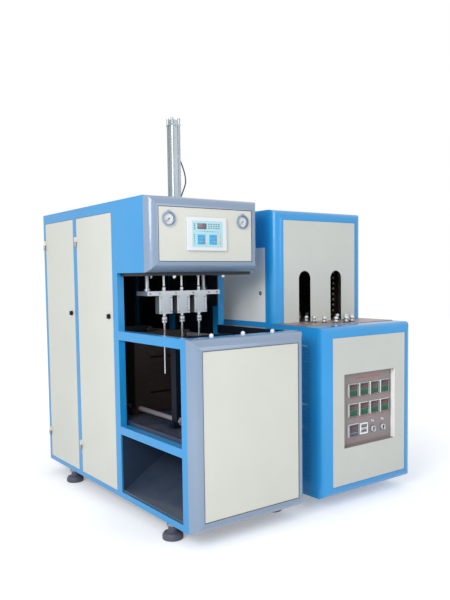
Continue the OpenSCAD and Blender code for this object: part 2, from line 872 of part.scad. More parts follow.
// Cylinder that closes the clamp: a tube held between a bored and a closed head
module clamp_cylinder() {
    head = 2 * clamp_cyl_r + 12;
    color(steel) place() translate([cx, clamp_cyl_y, clamp_z]) {
        difference() {
            translate([-head / 2, 0, -head / 2]) cube([head, cap_t, head]);
            translate([0, -eps, 0]) rod_y(clamp_rod_r + fit, cap_t + 2 * eps);
        }
        translate([0, cap_t + gap, 0]) difference() {
            rod_y(clamp_cyl_r, clamp_cyl_len - 2 * cap_t - 2 * gap);
            translate([0, -eps, 0]) rod_y(clamp_bore_r, clamp_cyl_len);
        }
        translate([-head / 2, clamp_cyl_len - cap_t, -head / 2]) cube([head, cap_t, head]);
    }
}

// Moving platen: plate, ribs behind it, and the rearward rack
module moving_platen() {
    rib_t = 36;
    rib_y = moving_y + platen_t;
    color(rust_brown) place() {
        difference() {
            union() {
                platen_plate(moving_y, tie_r + fit);
                for (x = [-platen_w / 2, platen_w / 2 - rib_t])
                    translate([cx + x, rib_y - eps, clamp_z - tie_z + 40])
                        cube([rib_t, platen_rib_d + eps, 2 * tie_z - 80]);
                for (z = [-tie_z + 40, tie_z - 64])
                    translate([cx - platen_w / 2, rib_y - eps, clamp_z + z])
                        cube([platen_w, 30, 24]);
            }
            tee_slots(moving_y, 1);
        }
        translate([cx, 0, 0]) rack_bar(moving_y + platen_t - eps, gear_y + rack_reach, -1);
        platen_shoes(moving_y);
    }
}

// Piston with its rod, screwed to the moving platen
module clamp_piston() {
    piston_y = clamp_cyl_y + clamp_cyl_len - cap_t - piston_t - 6;
    start = moving_y + platen_t;
    color(bright) place() translate([cx, 0, clamp_z]) {
        translate([0, piston_y, 0]) rod_y(clamp_bore_r - gap, piston_t);
        translate([0, start + 20, 0]) rod_y(clamp_rod_r, piston_y - start - 20 + eps);
        translate([0, start, 0]) rod_y(clamp_rod_r + 22, 20 + eps);
    }
}

// Angle of an involute flank, in degrees, for a pressure angle a
function involute(a) = tan(a) * 180 / PI - a;

// The pinion's outline: involute flanks from the base circle to the tips
module gear_outline(m, n) {
    rb = m * n / 2 * cos(20);
    ra = m * n / 2 + m;
    rf = m * n / 2 - 1.2 * m;
    half = 90 / n - 0.25;
    radii = [rf, rb, rb + (ra - rb) * 0.33, rb + (ra - rb) * 0.66, ra];
    flank = [for (r = radii) half + involute(20) - (r > rb ? involute(acos(rb / r)) : 0)];
    polygon([for (t = [0:n - 1], s = [-1, 1], i = [0:4])
        let (k = s < 0 ? i : 4 - i, a = t * 360 / n + s * flank[k]) radii[k] * [cos(a), sin(a)]]);
}

module sync_pinion() {
    color(steel) place() translate([cx, gear_y, gear_z]) difference() {
        linear_extrude(gear_t) gear_outline(gear_module, gear_teeth);
        translate([0, 0, -eps]) cylinder(r = 12 + fit, h = gear_t + 2 * eps);
    }
}

// Two thick plates of the head: the lower one hangs under the frame's arms, just
// below the cover, and carries the seal cylinders, the upper one lies on the arms
// and carries the stretch cylinder and the hose's bulkhead union
module head_plates() {
    low_in = turned_in + gap;
    high_in = sheet_t + gap;
    y0 = head_y + 8;
    upper_y = stretch_y - 90;
    end_y = cabinet_y - gap;
    color(steel) place() {
        difference() {
            translate([low_in, y0, head_plate_z])
                cube([blow_w - 2 * low_in, end_y - y0, head_plate_t]);
            at_cavities() translate([0, 0, head_plate_z - eps])
                cylinder(r = rod_r + 3, h = head_plate_t + 2 * eps);
            at_seals() translate([0, 0, head_plate_z - eps])
                cylinder(r = seal_rod_r + fit, h = head_plate_t + 2 * eps);
            at_guides() translate([0, 0, head_plate_z - eps])
                cylinder(r = 10 + fit, h = head_plate_t + 2 * eps);
        }
        difference() {
            union() {
                translate([high_in, upper_y, top_plate_z])
                    cube([blow_w - 2 * high_in, end_y - upper_y, 22]);
                translate([hose_end[0], hose_end[1], top_plate_z + 22 - eps])
                    cylinder(r = 9, h = sheet_t + eps + union_h - gap);
            }
            translate([cx, stretch_y, top_plate_z - eps]) cylinder(r = stretch_rod_r + fit, h = 24);
            at_guides() translate([0, 0, top_plate_z - eps]) cylinder(r = 10 + fit, h = 12 + eps);
            translate([hose_end[0], hose_end[1], top_plate_z - eps]) cylinder(r = hose_r, h = 60);
        }
    }
}

module at_cavities() {
    for (i = [-1:1])
        translate([cx + i * pitch_x, line_y, 0]) children();
}

module at_seals() {
    for (x = [-seal_x, seal_x])
        translate([cx + x, seal_y, 0]) children();
}

module at_guides() {
    for (x = [-72, 72])
        translate([cx + x, stretch_y, 0]) children();
}

// Two cylinders on the lower head plate that press the nozzle beam down
module seal_cylinders() {
    h = seal_h;
    color(steel) place() at_seals() translate([0, 0, head_plate_top]) difference() {
        union() {
            cylinder(r = 31, h = h);
            for (z = [0, h - 20])
                translate([-32, -32, z]) cube([64, 64, 20]);
        }
        translate([0, 0, 20]) cylinder(r = 27, h = h - 40);
        translate([0, 0, -eps]) cylinder(r = seal_rod_r + fit, h = 22);
    }
}

// Steel beam on the seal cylinders' rods
module nozzle_beam() {
    piston_z = head_plate_top + 20 + seal_piston_up;
    front = 38;
    color(steel) place() {
        difference() {
            translate([cx - beam_w / 2, line_y - front, beam_z])
                cube([beam_w, seal_y - line_y + front + 26, beam_t]);
            at_cavities() translate([0, 0, beam_z - eps]) cylinder(r = 12 + fit, h = beam_t + 2 * eps);
        }
        at_seals() {
            translate([0, 0, beam_z + beam_t - eps]) cylinder(r = seal_rod_r, h = piston_z - beam_z - beam_t + eps);
            translate([0, 0, beam_z + beam_t - eps]) cylinder(r = seal_rod_r + 7, h = 14);
            translate([0, 0, piston_z - eps]) cylinder(r = 27 - gap, h = 14);
        }
    }
}

// Three aluminium nozzle blocks with rounded corners and cooling grooves in front
module nozzle_block() {
    groove = 5;
    margin = 18;
    corner = 7;
    color([0.80, 0.82, 0.83]) place() at_cavities() translate([0, 0, block_z]) difference() {
        linear_extrude(block_h) {
            square([block_w - 2 * corner, block_d], center = true);
            square([block_w, block_d - 2 * corner], center = true);
            for (x = [-1, 1], y = [-1, 1])
                translate([x * (block_w / 2 - corner), y * (block_d / 2 - corner)]) circle(r = corner);
        }
        translate([0, 0, -eps]) cylinder(r = 12 + fit, h = block_h + 2 * eps);
        for (i = [1:6])
            translate([margin - block_w / 2, -block_d / 2 - eps, i * block_h / 7 - groove / 2])
                cube([block_w - 2 * margin, 8 + eps, groove]);
    }
}

// Three blow nozzles: a head with a square end, a neck, the stem through the block
// and the beam, and a gland nut on top
module blow_nozzles() {
    stem_top = block_h + beam_t;
    color(bright) place() at_cavities() translate([0, 0, block_z]) rotate_extrude()
        polygon([[rod_r + gap, -nozzle_neck - nozzle_h], [nozzle_r - 2, -nozzle_neck - nozzle_h],
            [nozzle_r, -nozzle_neck - nozzle_h + 2], [nozzle_r, -nozzle_neck - 4],
            [nozzle_r - 4, -nozzle_neck], [nozzle_r - 7, -nozzle_neck], [nozzle_r - 7, -3], [nozzle_r, -3],
            [nozzle_r, 0], [12, 0], [12, stem_top], [gland_r + 2, stem_top], [gland_r + 2, stem_top + 5],
            [gland_r, stem_top + 7], [gland_r, stem_top + gland_h - 3],
            [gland_r - 2, stem_top + gland_h], [rod_r + gap, stem_top + gland_h]]);
}

// Two ground shafts that guide the crosshead, between the head's plates
module crosshead_guides() {
    color(bright) place() at_guides() translate([0, 0, head_plate_z])
        cylinder(r = 10, h = top_plate_z + 12 - head_plate_z);
}

// Extruded tube of the stretch cylinder: four corner columns with a deep recess and
// two narrow grooves between them on every face
module stretch_cylinder() {
    s = stretch_size;
    low = 22;
    high = 44;
    column = 17;
    deep = 4.5;
    color([0.76, 0.78, 0.80]) place() translate([cx, stretch_y, blow_h + low])
        linear_extrude(stretch_h - low - high) difference() {
            square([s, s], center = true);
            circle(r = stretch_bore_r);
            for (a = [0:90:270])
                rotate(a) {
                    translate([s / 2 - deep, column - s / 2]) square([deep + eps, s - 2 * column]);
                    translate([s / 2, s / 2]) rotate(45) square([7, 9], center = true);
                    for (y = [-1, 1])
                        translate([s / 2 - 3, y * (s / 2 - column / 2 - 1) - 1]) square([3 + eps, 2]);
                }
        }
}

// End caps of the stretch cylinder: a plain lower one, and an upper one with four
// corner posts, a port in the back and the elbow that the hose hangs from
module cylinder_caps() {
    s = stretch_size;
    post_r = 8;
    post_at = s / 2 - post_r + 1;
    elbow_y = hose_start[1] - stretch_y;
    elbow_z = hose_start[2] - blow_h + 16;
    color([0.70, 0.72, 0.74]) place() translate([cx, stretch_y, blow_h]) {
        difference() {
            translate([-s / 2, -s / 2, 0]) cube([s, s, 22]);
            translate([0, 0, -eps]) cylinder(r = stretch_rod_r + fit, h = 24);
        }
        translate([0, 0, stretch_h - 44]) difference() {
            union() {
                translate([-s / 2 - 1, -s / 2 - 1, 0]) cube([s + 2, s + 2, 8]);
                translate([-s / 2 + 6, -s / 2 + 6, 0]) cube([s - 12, s - 12, 34]);
                for (x = [-1, 1], y = [-1, 1])
                    translate([x * post_at, y * post_at, 0]) cylinder(r = post_r, h = 44);
            }
            for (x = [-1, 1], y = [-1, 1])
                translate([x * post_at, y * post_at, 38]) cylinder(r = 4, h = 10);
        }
        translate([0, s / 2 - 7, elbow_z]) rod_y(8, elbow_y - s / 2 + 7);
        translate([0, elbow_y, elbow_z]) sphere(r = 8);
        translate([0, elbow_y, elbow_z - 16 + gap]) cylinder(r = 8, h = 16 - gap);
    }
}

// Crosshead that carries the three stretch rods, raised by the piston
module crosshead() {
    w = 2 * pitch_x + 50;
    color(dark_iron) place() difference() {
        union() {
            translate([cx - w / 2, line_y - 20, cross_z]) cube([w, 95, cross_t]);
            at_guides() translate([0, 0, cross_z]) cylinder(r = 19, h = cross_t + 18);
        }
        at_guides() translate([0, 0, cross_z - eps]) cylinder(r = 10 + fit, h = cross_t + 30);
        at_cavities() translate([0, 0, cross_z - eps]) cylinder(r = rod_r + fit, h = cross_t + 2 * eps);
        translate([cx, stretch_y, cross_z - eps]) cylinder(r = stretch_rod_r + fit, h = cross_t + 2 * eps);
    }
}

// Three stretch rods with round tips, clamped in the crosshead
module stretch_rods() {
    top = cross_z + cross_t + 12;
    color(bright) place() at_cavities() {
        translate([0, 0, rod_tip_z + rod_r]) cylinder(r = rod_r, h = top - rod_tip_z - rod_r);
        translate([0, 0, rod_tip_z + rod_r]) sphere(r = rod_r);
        for (z = [cross_z - 8, cross_z + cross_t])
            translate([0, 0, z]) cylinder(r = rod_r + 6, h = 8);
    }
}

// Piston and rod of the stretch cylinder, down at the crosshead
module stretch_piston() {
    piston_z = blow_h + 22 + 12;
    color(bright) place() translate([cx, stretch_y, 0]) {
        translate([0, 0, cross_z]) cylinder(r = stretch_rod_r, h = piston_z - cross_z);
        translate([0, 0, cross_z + cross_t]) cylinder(r = stretch_rod_r + 7, h = 14);
        translate([0, 0, cross_z - 10]) cylinder(r = stretch_rod_r + 7, h = 10);
        translate([0, 0, piston_z - eps]) cylinder(r = stretch_bore_r - gap, h = 24);
    }
}

// Sweeps a round hose along points, as one closed polyhedron
module hose(route, r, sides = 10) {
    n = len(route);
    dir = [for (i = [0:n - 1])
        let (d = route[min(i + 1, n - 1)] - route[max(i - 1, 0)]) d / norm(d)];
    ring = [for (i = [0:n - 1])
        let (u0 = cross(dir[i], [1, 0, 0]), u = u0 / norm(u0), v = cross(dir[i], u))
            [for (k = [0:sides - 1])
                let (a = 360 * k / sides) route[i] + r * (cos(a) * u + sin(a) * v)]];
    points = [for (i = [0:n - 1], k = [0:sides - 1]) ring[i][k]];
    walls = [for (i = [0:n - 2], k = [0:sides - 1])
        let (j = (k + 1) % sides) [i * sides + j, i * sides + k, (i + 1) * sides + k, (i + 1) * sides + j]];
    first = [[for (k = [0:sides - 1]) k]];
    last = [[for (k = [sides - 1:-1:0]) (n - 1) * sides + k]];
    polyhedron(points = points, faces = concat(walls, first, last));
}

module air_hose() {
    color([0.10, 0.16, 0.30]) place() hose(hose_route, hose_r);
}

// Levelling feet: a neck and a rubber disc each
module levelling_feet() {
    color(black) {
        place() for (x = [foot_in, blow_w - foot_in], y = [foot_front_y, foot_rear_y])
            translate([x, y, 0]) foot(foot_h);
        place_heater() for (x = [heater_foot_in, heater_w - heater_foot_in],
                y = [heater_foot_in, heater_d - heater_foot_in])
            translate([x, y, 0]) foot(foot_h - heater_drop);
    }
}

module foot(h) {
    translate([0, 0, -foot_h]) rotate_extrude()
        polygon([[0, 0], [foot_r - 3, 0], [foot_r, 4], [foot_r, 22], [foot_r - 8, 34], [foot_neck_r + 6, 38],
            [foot_neck_r, 42], [foot_neck_r, h], [0, h]]);
}

// Solenoid valves on their manifold, on a plate between the right posts
module valve_bank() {
    count = 6;
    color([0.35, 0.37, 0.40]) place() translate([blow_w - tube_d - 4, cabinet_y + 10, valve_z]) {
        cube([4, mid_post_y + 20 - cabinet_y, valve_plate_h]);
        translate([-46, 70, 40]) cube([46 + eps, 400, 36]);
        for (i = [0:count - 1])
            translate([-42, 84 + i * 64, 76 - eps]) {
                cube([30, 44, 60]);
                translate([4, 8, 60 - eps]) cube([22, 28, 34]);
            }
    }
}

// Louvres in a sheet at X = 0: each a pressed face that slopes in to a slit, from y0
// over width, between z0 and z1
module louvres(y0, width, z0, z1) {
    high = louvre_pitch / 2;
    for (z = [z0:louvre_pitch:z1])
        translate([0, y0 + width, z]) rotate([90, 0, 0]) linear_extrude(width)
            polygon([[-eps, 0], [-eps, high], [sheet_t + eps, high], [sheet_t + eps, high - 1.5],
                [sheet_t - 0.8, high - 1.5]]);
}

// Blue sheet body of the heater: a low front and a tall oven with rounded edges,
// louvred low sides, and cut for its panels, its track plate and the spindles
module heater_shell() {
    w = heater_w;
    t = sheet_t;
    low = -heater_drop;
    front = 8;
    louvre_y = corner_r + 56;
    color(heater_blue) place_heater() difference() {
        union() {
            translate([0, 0, low]) rounded_block(w, heater_d, heater_low_h - low, corner_r);
            translate([0, heater_step, heater_low_h - eps])
                rounded_block(w, heater_d - heater_step, heater_h - heater_low_h + eps, corner_r, true);
        }
        translate([t, front, low + t])
            rounded_block(w - 2 * t, heater_d - front - t, heater_low_h - low - 2 * t, corner_r - t);
        translate([t, heater_step + front, heater_low_h - 60])
            rounded_block(w - 2 * t, heater_d - heater_step - front - t, heater_h - heater_low_h + 60 - t,
                corner_r - t, true);
        panel_seat(0, low, heater_low_h, lip_w);
        panel_seat(heater_step, heater_low_h + track_t - rim_end, heater_h, -track_t);
        translate([24, plate_y + 16, heater_low_h - t - eps])
            cube([w - 48, heater_d - plate_y - 46, t + track_t + gap + eps]);
        translate([8, plate_y, heater_low_h])
            cube([w - 16, heater_d - plate_y - 20 + 2 * gap, track_t + gap]);
        for (side = [0, 1])
            translate([side * w, 0, 0]) mirror([side, 0, 0]) {
                translate([-eps, side_sheet_y, side_sheet_z])
                    cube([t + 2 * eps, heater_d - side_sheet_end - side_sheet_y, side_sheet_top - side_sheet_z]);
                for (y = [louvre_y, heater_d - louvre_back])
                    louvres(y, louvre_len, 70, heater_low_h - 90);
                translate([-eps, corner_r, low + corner_r])
                    cube([1 + eps, 1.5, heater_low_h - low - 2 * corner_r]);
                translate([-eps, heater_step + corner_r, heater_low_h + 8])
                    cube([1 + eps, 1.5, heater_h - heater_low_h - corner_r - 8]);
            }
    }
}

// The seat cut for a front panel at depth y, between heights z0 and z1, and the
// opening inside its lip
module panel_seat(y, z0, z1, low_lip) {
    translate([rim_side, y - eps, z0 + rim_end])
        cube([heater_w - 2 * rim_side, panel_groove + panel_t + gap + eps, z1 - z0 - 2 * rim_end]);
    translate([rim_side + lip_w, y - eps, z0 + rim_end + low_lip])
        cube([heater_w - 2 * rim_side - 2 * lip_w, 24, z1 - z0 - 2 * rim_end - lip_w - low_lip]);
}

// Beige fronts of the heater: the low one with the control window, the tall one
// with two arched slots for the preforms
module heater_front_panels() {
    edge = rim_side + panel_groove;
    w = heater_w - 2 * edge;
    low_z = rim_end - heater_drop + panel_groove;
    tall_z = heater_low_h + track_t + gap;
    color(beige) place_heater() translate([0, panel_groove, 0]) {
        difference() {
            translate([edge, 0, low_z]) cube([w, panel_t, heater_low_h - rim_end - panel_groove - low_z]);
            translate([hcx - window_w / 2, -eps, window_z - window_h / 2])
                cube([window_w, panel_t + 2 * eps, window_h]);
        }
        translate([0, heater_step, 0]) difference() {
            translate([edge, 0, tall_z]) cube([w, panel_t, heater_h - rim_end - panel_groove - tall_z]);
            for (x = [-track_r, track_r])
                translate([hcx + x, -eps, 0]) {
                    translate([-slot_w / 2, 0, tall_z - eps])
                        cube([slot_w, panel_t + 2 * eps, slot_top_z - slot_w / 2 - tall_z + eps]);
                    translate([0, 0, slot_top_z - slot_w / 2]) rod_y(slot_w / 2, panel_t + 2 * eps);
                }
        }
    }
}

// Beige pans in the oven's two sides
module heater_side_panels() {
    y1 = heater_d - side_sheet_end;
    flange = 8;
    color(beige) place_heater()
        for (side = [0, 1])
            translate([side * heater_w, 0, 0]) mirror([side, 0, 0]) {
                translate([0, side_sheet_y + gap, side_sheet_z + gap])
                    cube([sheet_t, y1 - side_sheet_y - 2 * gap, side_sheet_top - side_sheet_z - 2 * gap]);
                translate([sheet_t, side_sheet_y - flange, side_sheet_z - flange])
                    cube([2, y1 - side_sheet_y + 2 * flange, side_sheet_top - side_sheet_z + 2 * flange]);
            }
}

// White-edged steel plate of the controls, sunk in the window as a tray
module control_plate() {
    rim = 1.5;
    w = window_w - 2 * gap;
    h = window_h - 2 * gap;
    color([0.62, 0.60, 0.60]) place_heater()
        translate([hcx - window_w / 2 + gap, 0, window_z - window_h / 2 + gap]) difference() {
            union() {
                translate([0, panel_groove, 0]) cube([w, window_deep + 2 - panel_groove, h]);
                translate([-10, panel_groove + panel_t + gap, -10]) cube([w + 20, 2, h + 20]);
            }
            translate([rim, -eps, rim]) cube([w - 2 * rim, window_deep + eps, h - 2 * rim]);
            for (i = [0, 1])
                translate([window_w / 2 - gap + switch_x(i), window_deep - eps,
                        switch_z - window_z + window_h / 2 - gap])
                    rod_y(4 + fit, 2 + 2 * eps);
        }
}

function switch_x(i) = 57 + 88 * i;

// Eight voltmeters in two rows, a temperature controller and a counter
module panel_meters() {
    color(white) place_heater() translate([hcx, window_deep - meter_out, 0]) {
        for (i = [0:3], j = [0, 1])
            meter_box(meter_x + (i - 1.5) * meter_pitch, meter_low_z + j * meter_row, meter_w, meter_h);
        meter_box(-118, low_row_z, 86, 75);
        meter_box(-33.5, low_row_z + 2, 63, 63);
    }
}

// One instrument on the plate: a rimmed front with a sunk face
module meter_box(x, z, w, h) {
    rim = 5;
    translate([x, 0, z]) difference() {
        translate([-w / 2, 0, -h / 2]) cube([w, meter_out, h]);
        translate([-w / 2 + rim, -eps, -h / 2 + rim]) cube([w - 2 * rim, 3 + eps, h - 2 * rim]);
    }
}

// Two small round lamps above the switches
module pilot_lamps() {
    color(white) place_heater()
        for (i = [0, 1])
            translate([hcx + switch_x(i) - 8, window_deep - 8, low_row_z + 37]) {
                rod_y(9, 8);
                translate([0, -3, 0]) rod_y(6, 3 + eps);
            }
}

// One rotary switch: a knob with a grip bar, a collar and its spindle
module rotary_switch() {
    color(white) {
        translate([0, -8 - gap, 0]) rod_y(17, 8);
        translate([-4.5, -20, -15]) cube([9, 12, 30]);
        translate([0, -eps - gap, 0]) rod_y(4, 6 + eps);
    }
}

module heater_switch_left() {
    place_heater() translate([hcx + switch_x(0), window_deep, switch_z]) rotary_switch();
}

module heater_switch_right() {
    place_heater() translate([hcx + switch_x(1), window_deep, switch_z]) rotary_switch();
}

// A racetrack outline of radius r round the chain's two sprockets
module racetrack(r) {
    for (y = [0, run_len])
        translate([0, y]) circle(r = r, $fn = 96);
    translate([-r, 0]) square([2 * r, run_len]);
}

// The track: its top plate, slotted for the spindles, its island, the bed below,
// the pillars of the island and the sprockets' posts
module track_plate() {
    ty = track_front;
    inner = sheet_t + gap;
    bed_top = bed_z + bed_t;
    color([0.50, 0.46, 0.44]) place_heater() {
        translate([0, 0, track_z]) linear_extrude(track_t) difference() {
            translate([8 + gap, plate_y + gap]) square([heater_w - 16 - 2 * gap, heater_d - plate_y - 20 - gap]);
            translate([hcx, ty]) racetrack(track_r + track_slot / 2);
        }
        translate([hcx, ty, track_z]) linear_extrude(track_t) racetrack(track_r - track_slot / 2);
        translate([inner, 60, bed_z]) cube([heater_w - 2 * inner, heater_d - 120, bed_t]);
        for (y = [0, run_len])
            translate([hcx, ty + y, bed_top - eps]) {
                cylinder(r = sprocket_post_r, h = track_z - bed_top + 2 * eps);
                cylinder(r = sprocket_post_r + 8, h = chain_z - 4 - gap - bed_top + eps);
            }
        for (i = [1:3])
            translate([hcx, ty + i * run_len / 4, bed_top - eps])
                cylinder(r = 12, h = track_z - bed_top + 2 * eps);
        for (x = [40, heater_w - 40], y = [plate_y + 40, heater_d - 160])
            translate([x, y, bed_top - eps]) cylinder(r = 12, h = track_z - bed_top + 2 * eps);
    }
}

// Places a piece at each of the chain's spindles: along the runs and round the bends
module at_spindles() {
    translate([hcx, track_front, 0]) {
        for (i = [0:run_links], s = [-1, 1])
            translate([s * track_r, i * link_pitch, 0]) rotate(s > 0 ? 0 : 180) children();
        for (a = [step_a:step_a:180 - step_a]) {
            rotate(-a) translate([track_r, 0, 0]) children();
            translate([0, run_len, 0]) rotate(a) translate([track_r, 0, 0]) children();
        }
    }
}

// The closed chain: a pin with a roller and a spindle at each joint, and the links
module spindle_chain() {
    half = step_a / 2;
    color(bright) place_heater() {
        at_spindles() spindle();
        translate([hcx, track_front, 0]) {
            for (i = [0:run_links - 1], s = [-1, 1])
                translate([s * track_r, i * link_pitch, 0]) link(i % 2 == (s > 0 ? 0 : 1));
            for (i = [0:sprocket_teeth / 2 - 1]) {
                rotate(-i * step_a) translate([track_r, 0, 0]) rotate(180 - half) link(i % 2 == 1);
                translate([0, run_len, 0]) rotate(i * step_a) translate([track_r, 0, 0])
                    rotate(half) link(i % 2 == 0);
            }
        }
    }
}

// One link along +Y: an outer pair of plates, or an inner pair
module link(outer) {
    t = 3;
    z = outer ? [0, 19] : [t + 0.2, 19 - t - 0.2];
    for (h = z)
        translate([0, 0, chain_z + h]) linear_extrude(t) {
            translate([-5, 0]) square([10, link_pitch]);
            for (y = [0, link_pitch])
                translate([0, y]) circle(r = 7.5);
        }
}

// One spindle on its pin with the chain's roller: a collar in the slot, and above the
// plate a foot, a waist and the round head that holds a preform
module spindle() {
    over = 8 + track_t;
    top = over + spindle_h;
    translate([0, 0, chain_z]) cylinder(r = 4, h = track_z - 8 - gap - chain_z);
    translate([0, 0, chain_z + 6.4]) cylinder(r = roller_r, h = 6.2);
    translate([0, 0, track_z - 8]) rotate_extrude()
        polygon([[0, 0], [9, 0], [9, over + 2], [15, over + 2], [15, over + 9], [13, over + 10],
            [9, over + 12], [9, top - 16], [spindle_r + 2, top - 14], [spindle_r + 2, top - 6],
            [spindle_r, top - 4], [spindle_r - 3, top], [0, top]]);
}

module sprocket_front() {
    place_heater() translate([hcx, track_front, 0]) sprocket();
}

module sprocket_rear() {
    place_heater() translate([hcx, track_front + run_len, 0]) sprocket();
}

// A sprocket between the chain's inner plates, its teeth just clear of the rollers,
// with four lightening holes and a hub
module sprocket() {
    tip_r = track_r - roller_r - gap;
    z = 10.5;
    t = 6;
    color(steel) translate([0, 0, chain_z - 4]) difference() {
        union() {
            translate([0, 0, z]) cylinder(r = tip_r, h = t, $fn = 96);
            cylinder(r = 36, h = 26);
        }
        for (i = [0:sprocket_teeth - 1])
            rotate(i * step_a) translate([tip_r + 2, 0, z - eps]) cylinder(r = roller_r + 1.5, h = t + 2 * eps);
        for (i = [0:3])
            rotate(45 + i * 90) translate([78, 0, z - eps]) cylinder(r = 26, h = t + 2 * eps);
        translate([0, 0, -eps]) cylinder(r = sprocket_post_r + fit, h = 26 + 2 * eps);
    }
}

// Rod lamps in two banks beside the runs of spindles
module heat_lamps() {
    color(white) place_heater()
        for (s = [-1, 1], i = [0:lamp_count - 1])
            translate([hcx + s * lamp_x, lamp_y0, lamp_z0 + i * lamp_pitch]) {
                translate([0, 18, 0]) rod_y(5, lamp_len - 36);
                for (y = [0, lamp_len - 20])
                    translate([0, y, 0]) rod_y(7, 20);
            }
}

// Bright reflectors behind the lamps, folded round at both ends to hold them
module lamp_reflectors() {
    sheet = 2;
    h = lamp_z0 + (lamp_count - 1) * lamp_pitch + 24 - track_z - track_t;
    color(steel) place_heater()
        for (s = [0, 1])
            translate([hcx, 0, track_z + track_t]) mirror([s, 0, 0]) {
                translate([lamp_x + 20, lamp_y0 - sheet, 0]) cube([sheet, lamp_len + 2 * sheet, h]);
                for (y = [lamp_y0 - sheet, lamp_y0 + lamp_len])
                    translate([lamp_x - 14, y, 0]) cube([36, sheet, h]);
            }
}

rear_frame();
front_frame();
head_shell();
head_bezel();
head_panel();
pressure_gauges();
gauge_dials();
gauge_lenses();
gauge_needle_left();
gauge_needle_right();
controller_housing();
controller_face();
front_bezel();
front_panel();
top_knobs();
right_panels();
rear_panel();
top_cover();
side_door_front();
side_door_rear();
door_latch_front();
door_latch_rear();
door_hinges();
bottle_chute();
clamp_base();
front_platen();
tie_rods();
tail_plate();
clamp_cylinder();
moving_platen();
clamp_piston();
sync_pinion();
head_plates();
seal_cylinders();
nozzle_beam();
nozzle_block();
blow_nozzles();
crosshead_guides();
stretch_cylinder();
cylinder_caps();
crosshead();
stretch_rods();
stretch_piston();
air_hose();
levelling_feet();
valve_bank();
heater_shell();
heater_front_panels();
heater_side_panels();
control_plate();
panel_meters();
pilot_lamps();
heater_switch_left();
heater_switch_right();
track_plate();
spindle_chain();
sprocket_front();
sprocket_rear();
heat_lamps();
lamp_reflectors();
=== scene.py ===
"""Looks of a two-cabinet stretch-blow moulding machine: the blow unit with its clamp,
nozzles and stretch cylinder, and the preform heater beside it. Metres, +Z up, +X to
the right along the fronts, +Y to the back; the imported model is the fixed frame."""

import math

import bmesh
import bpy
from mathutils import Matrix, Vector


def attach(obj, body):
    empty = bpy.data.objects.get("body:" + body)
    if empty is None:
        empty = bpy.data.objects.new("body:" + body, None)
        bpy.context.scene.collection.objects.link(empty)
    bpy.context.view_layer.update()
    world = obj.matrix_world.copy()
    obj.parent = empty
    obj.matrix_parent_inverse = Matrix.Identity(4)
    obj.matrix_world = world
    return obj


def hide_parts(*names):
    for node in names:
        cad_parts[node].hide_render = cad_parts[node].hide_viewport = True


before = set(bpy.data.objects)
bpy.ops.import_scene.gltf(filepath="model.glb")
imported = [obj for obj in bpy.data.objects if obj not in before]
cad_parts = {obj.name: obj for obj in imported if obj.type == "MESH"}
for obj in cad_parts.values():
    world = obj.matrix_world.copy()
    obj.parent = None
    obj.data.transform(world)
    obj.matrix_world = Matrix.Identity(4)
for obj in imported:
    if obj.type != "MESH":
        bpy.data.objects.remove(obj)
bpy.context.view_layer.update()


# The camera stands where the photographer stood: to the front left, at chest height,
# turned to the right and a little down. The lens is a short telephoto.
camera_data = bpy.data.cameras.new("photo_camera")
camera_data.lens = 39.78
camera_data.sensor_width = 36.0
camera_data.shift_x = 0.0031
camera_data.shift_y = 0.0331
camera_data.clip_end = 60.0
camera = bpy.data.objects.new("photo_camera", camera_data)
bpy.context.collection.objects.link(camera)
pan, tilt, roll = (math.radians(angle) for angle in (-36.13, 90 - 3.81, -0.78))
camera_turn = Matrix.Rotation(pan, 4, "Z") @ Matrix.Rotation(tilt, 4, "X") @ Matrix.Rotation(roll, 4, "Z")
camera.matrix_world = Matrix.Translation((-2.5515, -3.5564, 1.3564)) @ camera_turn
bpy.context.scene.camera = camera
bpy.context.scene.view_settings.view_transform = "Standard"


# The air hose is dark blue polyurethane tube, 8 mm thick. It is pushed on a barb behind the
# stretch cylinder's top cap, hangs down in one loose curve and enters the union on the head.
def spot(x, y, z):
    """A point given in millimetres from the blow unit's front left bottom corner."""
    middle_x, middle_y, foot_height = 821, 876.5, 85
    return Vector(((x - middle_x) / 1000, (y - middle_y) / 1000, (z + foot_height) / 1000))


def colour(red, green, blue, alpha=1.0):
    """A colour as it is read off a screen, 0 to 255, in the shader's linear values."""
    def linear(value):
        share = value / 255
        return share / 12.92 if share <= 0.04045 else ((share + 0.055) / 1.055) ** 2.4
    return (linear(red), linear(green), linear(blue), alpha)


def new_material(name):
    """A material with its node tree and the shader in it."""
    material = bpy.data.materials.new(name)
    material.use_nodes = True
    return material, material.node_tree, material.node_tree.nodes["Principled BSDF"]


def add_node(tree, kind, **settings):
    """A new node of a kind, with its settings."""
    node = tree.nodes.new(kind)
    for name, value in settings.items():
        setattr(node, name, value)
    return node


def fill(node, **values):
    """Sets inputs by name; a double underscore stands for a space."""
    for name, value in values.items():
        node.inputs[name.replace("__", " ")].default_value = value
    return node


def wire(tree, *pairs):
    """Joins sockets: each pair is an output and the input that it feeds."""
    for source, target in pairs:
        tree.links.new(source, target)


def group_shell(name, inputs, outputs):
    """An empty node group with named sockets: (name, kind, default value). Gives the group,
    what it is given and what it puts out."""
    group = bpy.data.node_groups.new(name, "ShaderNodeTree")
    for label, kind, value in inputs:
        group.interface.new_socket(label, in_out="INPUT", socket_type="NodeSocket" + kind).default_value = value
    for label, kind in outputs:
        group.interface.new_socket(label, in_out="OUTPUT", socket_type="NodeSocket" + kind)
    return group, group.nodes.new("NodeGroupInput").outputs, group.nodes.new("NodeGroupOutput").inputs


def use_group(tree, group, **values):
    """Places a node group with its own values, and gives its outputs."""
    return fill(add_node(tree, "ShaderNodeGroup", node_tree=group), **values).outputs


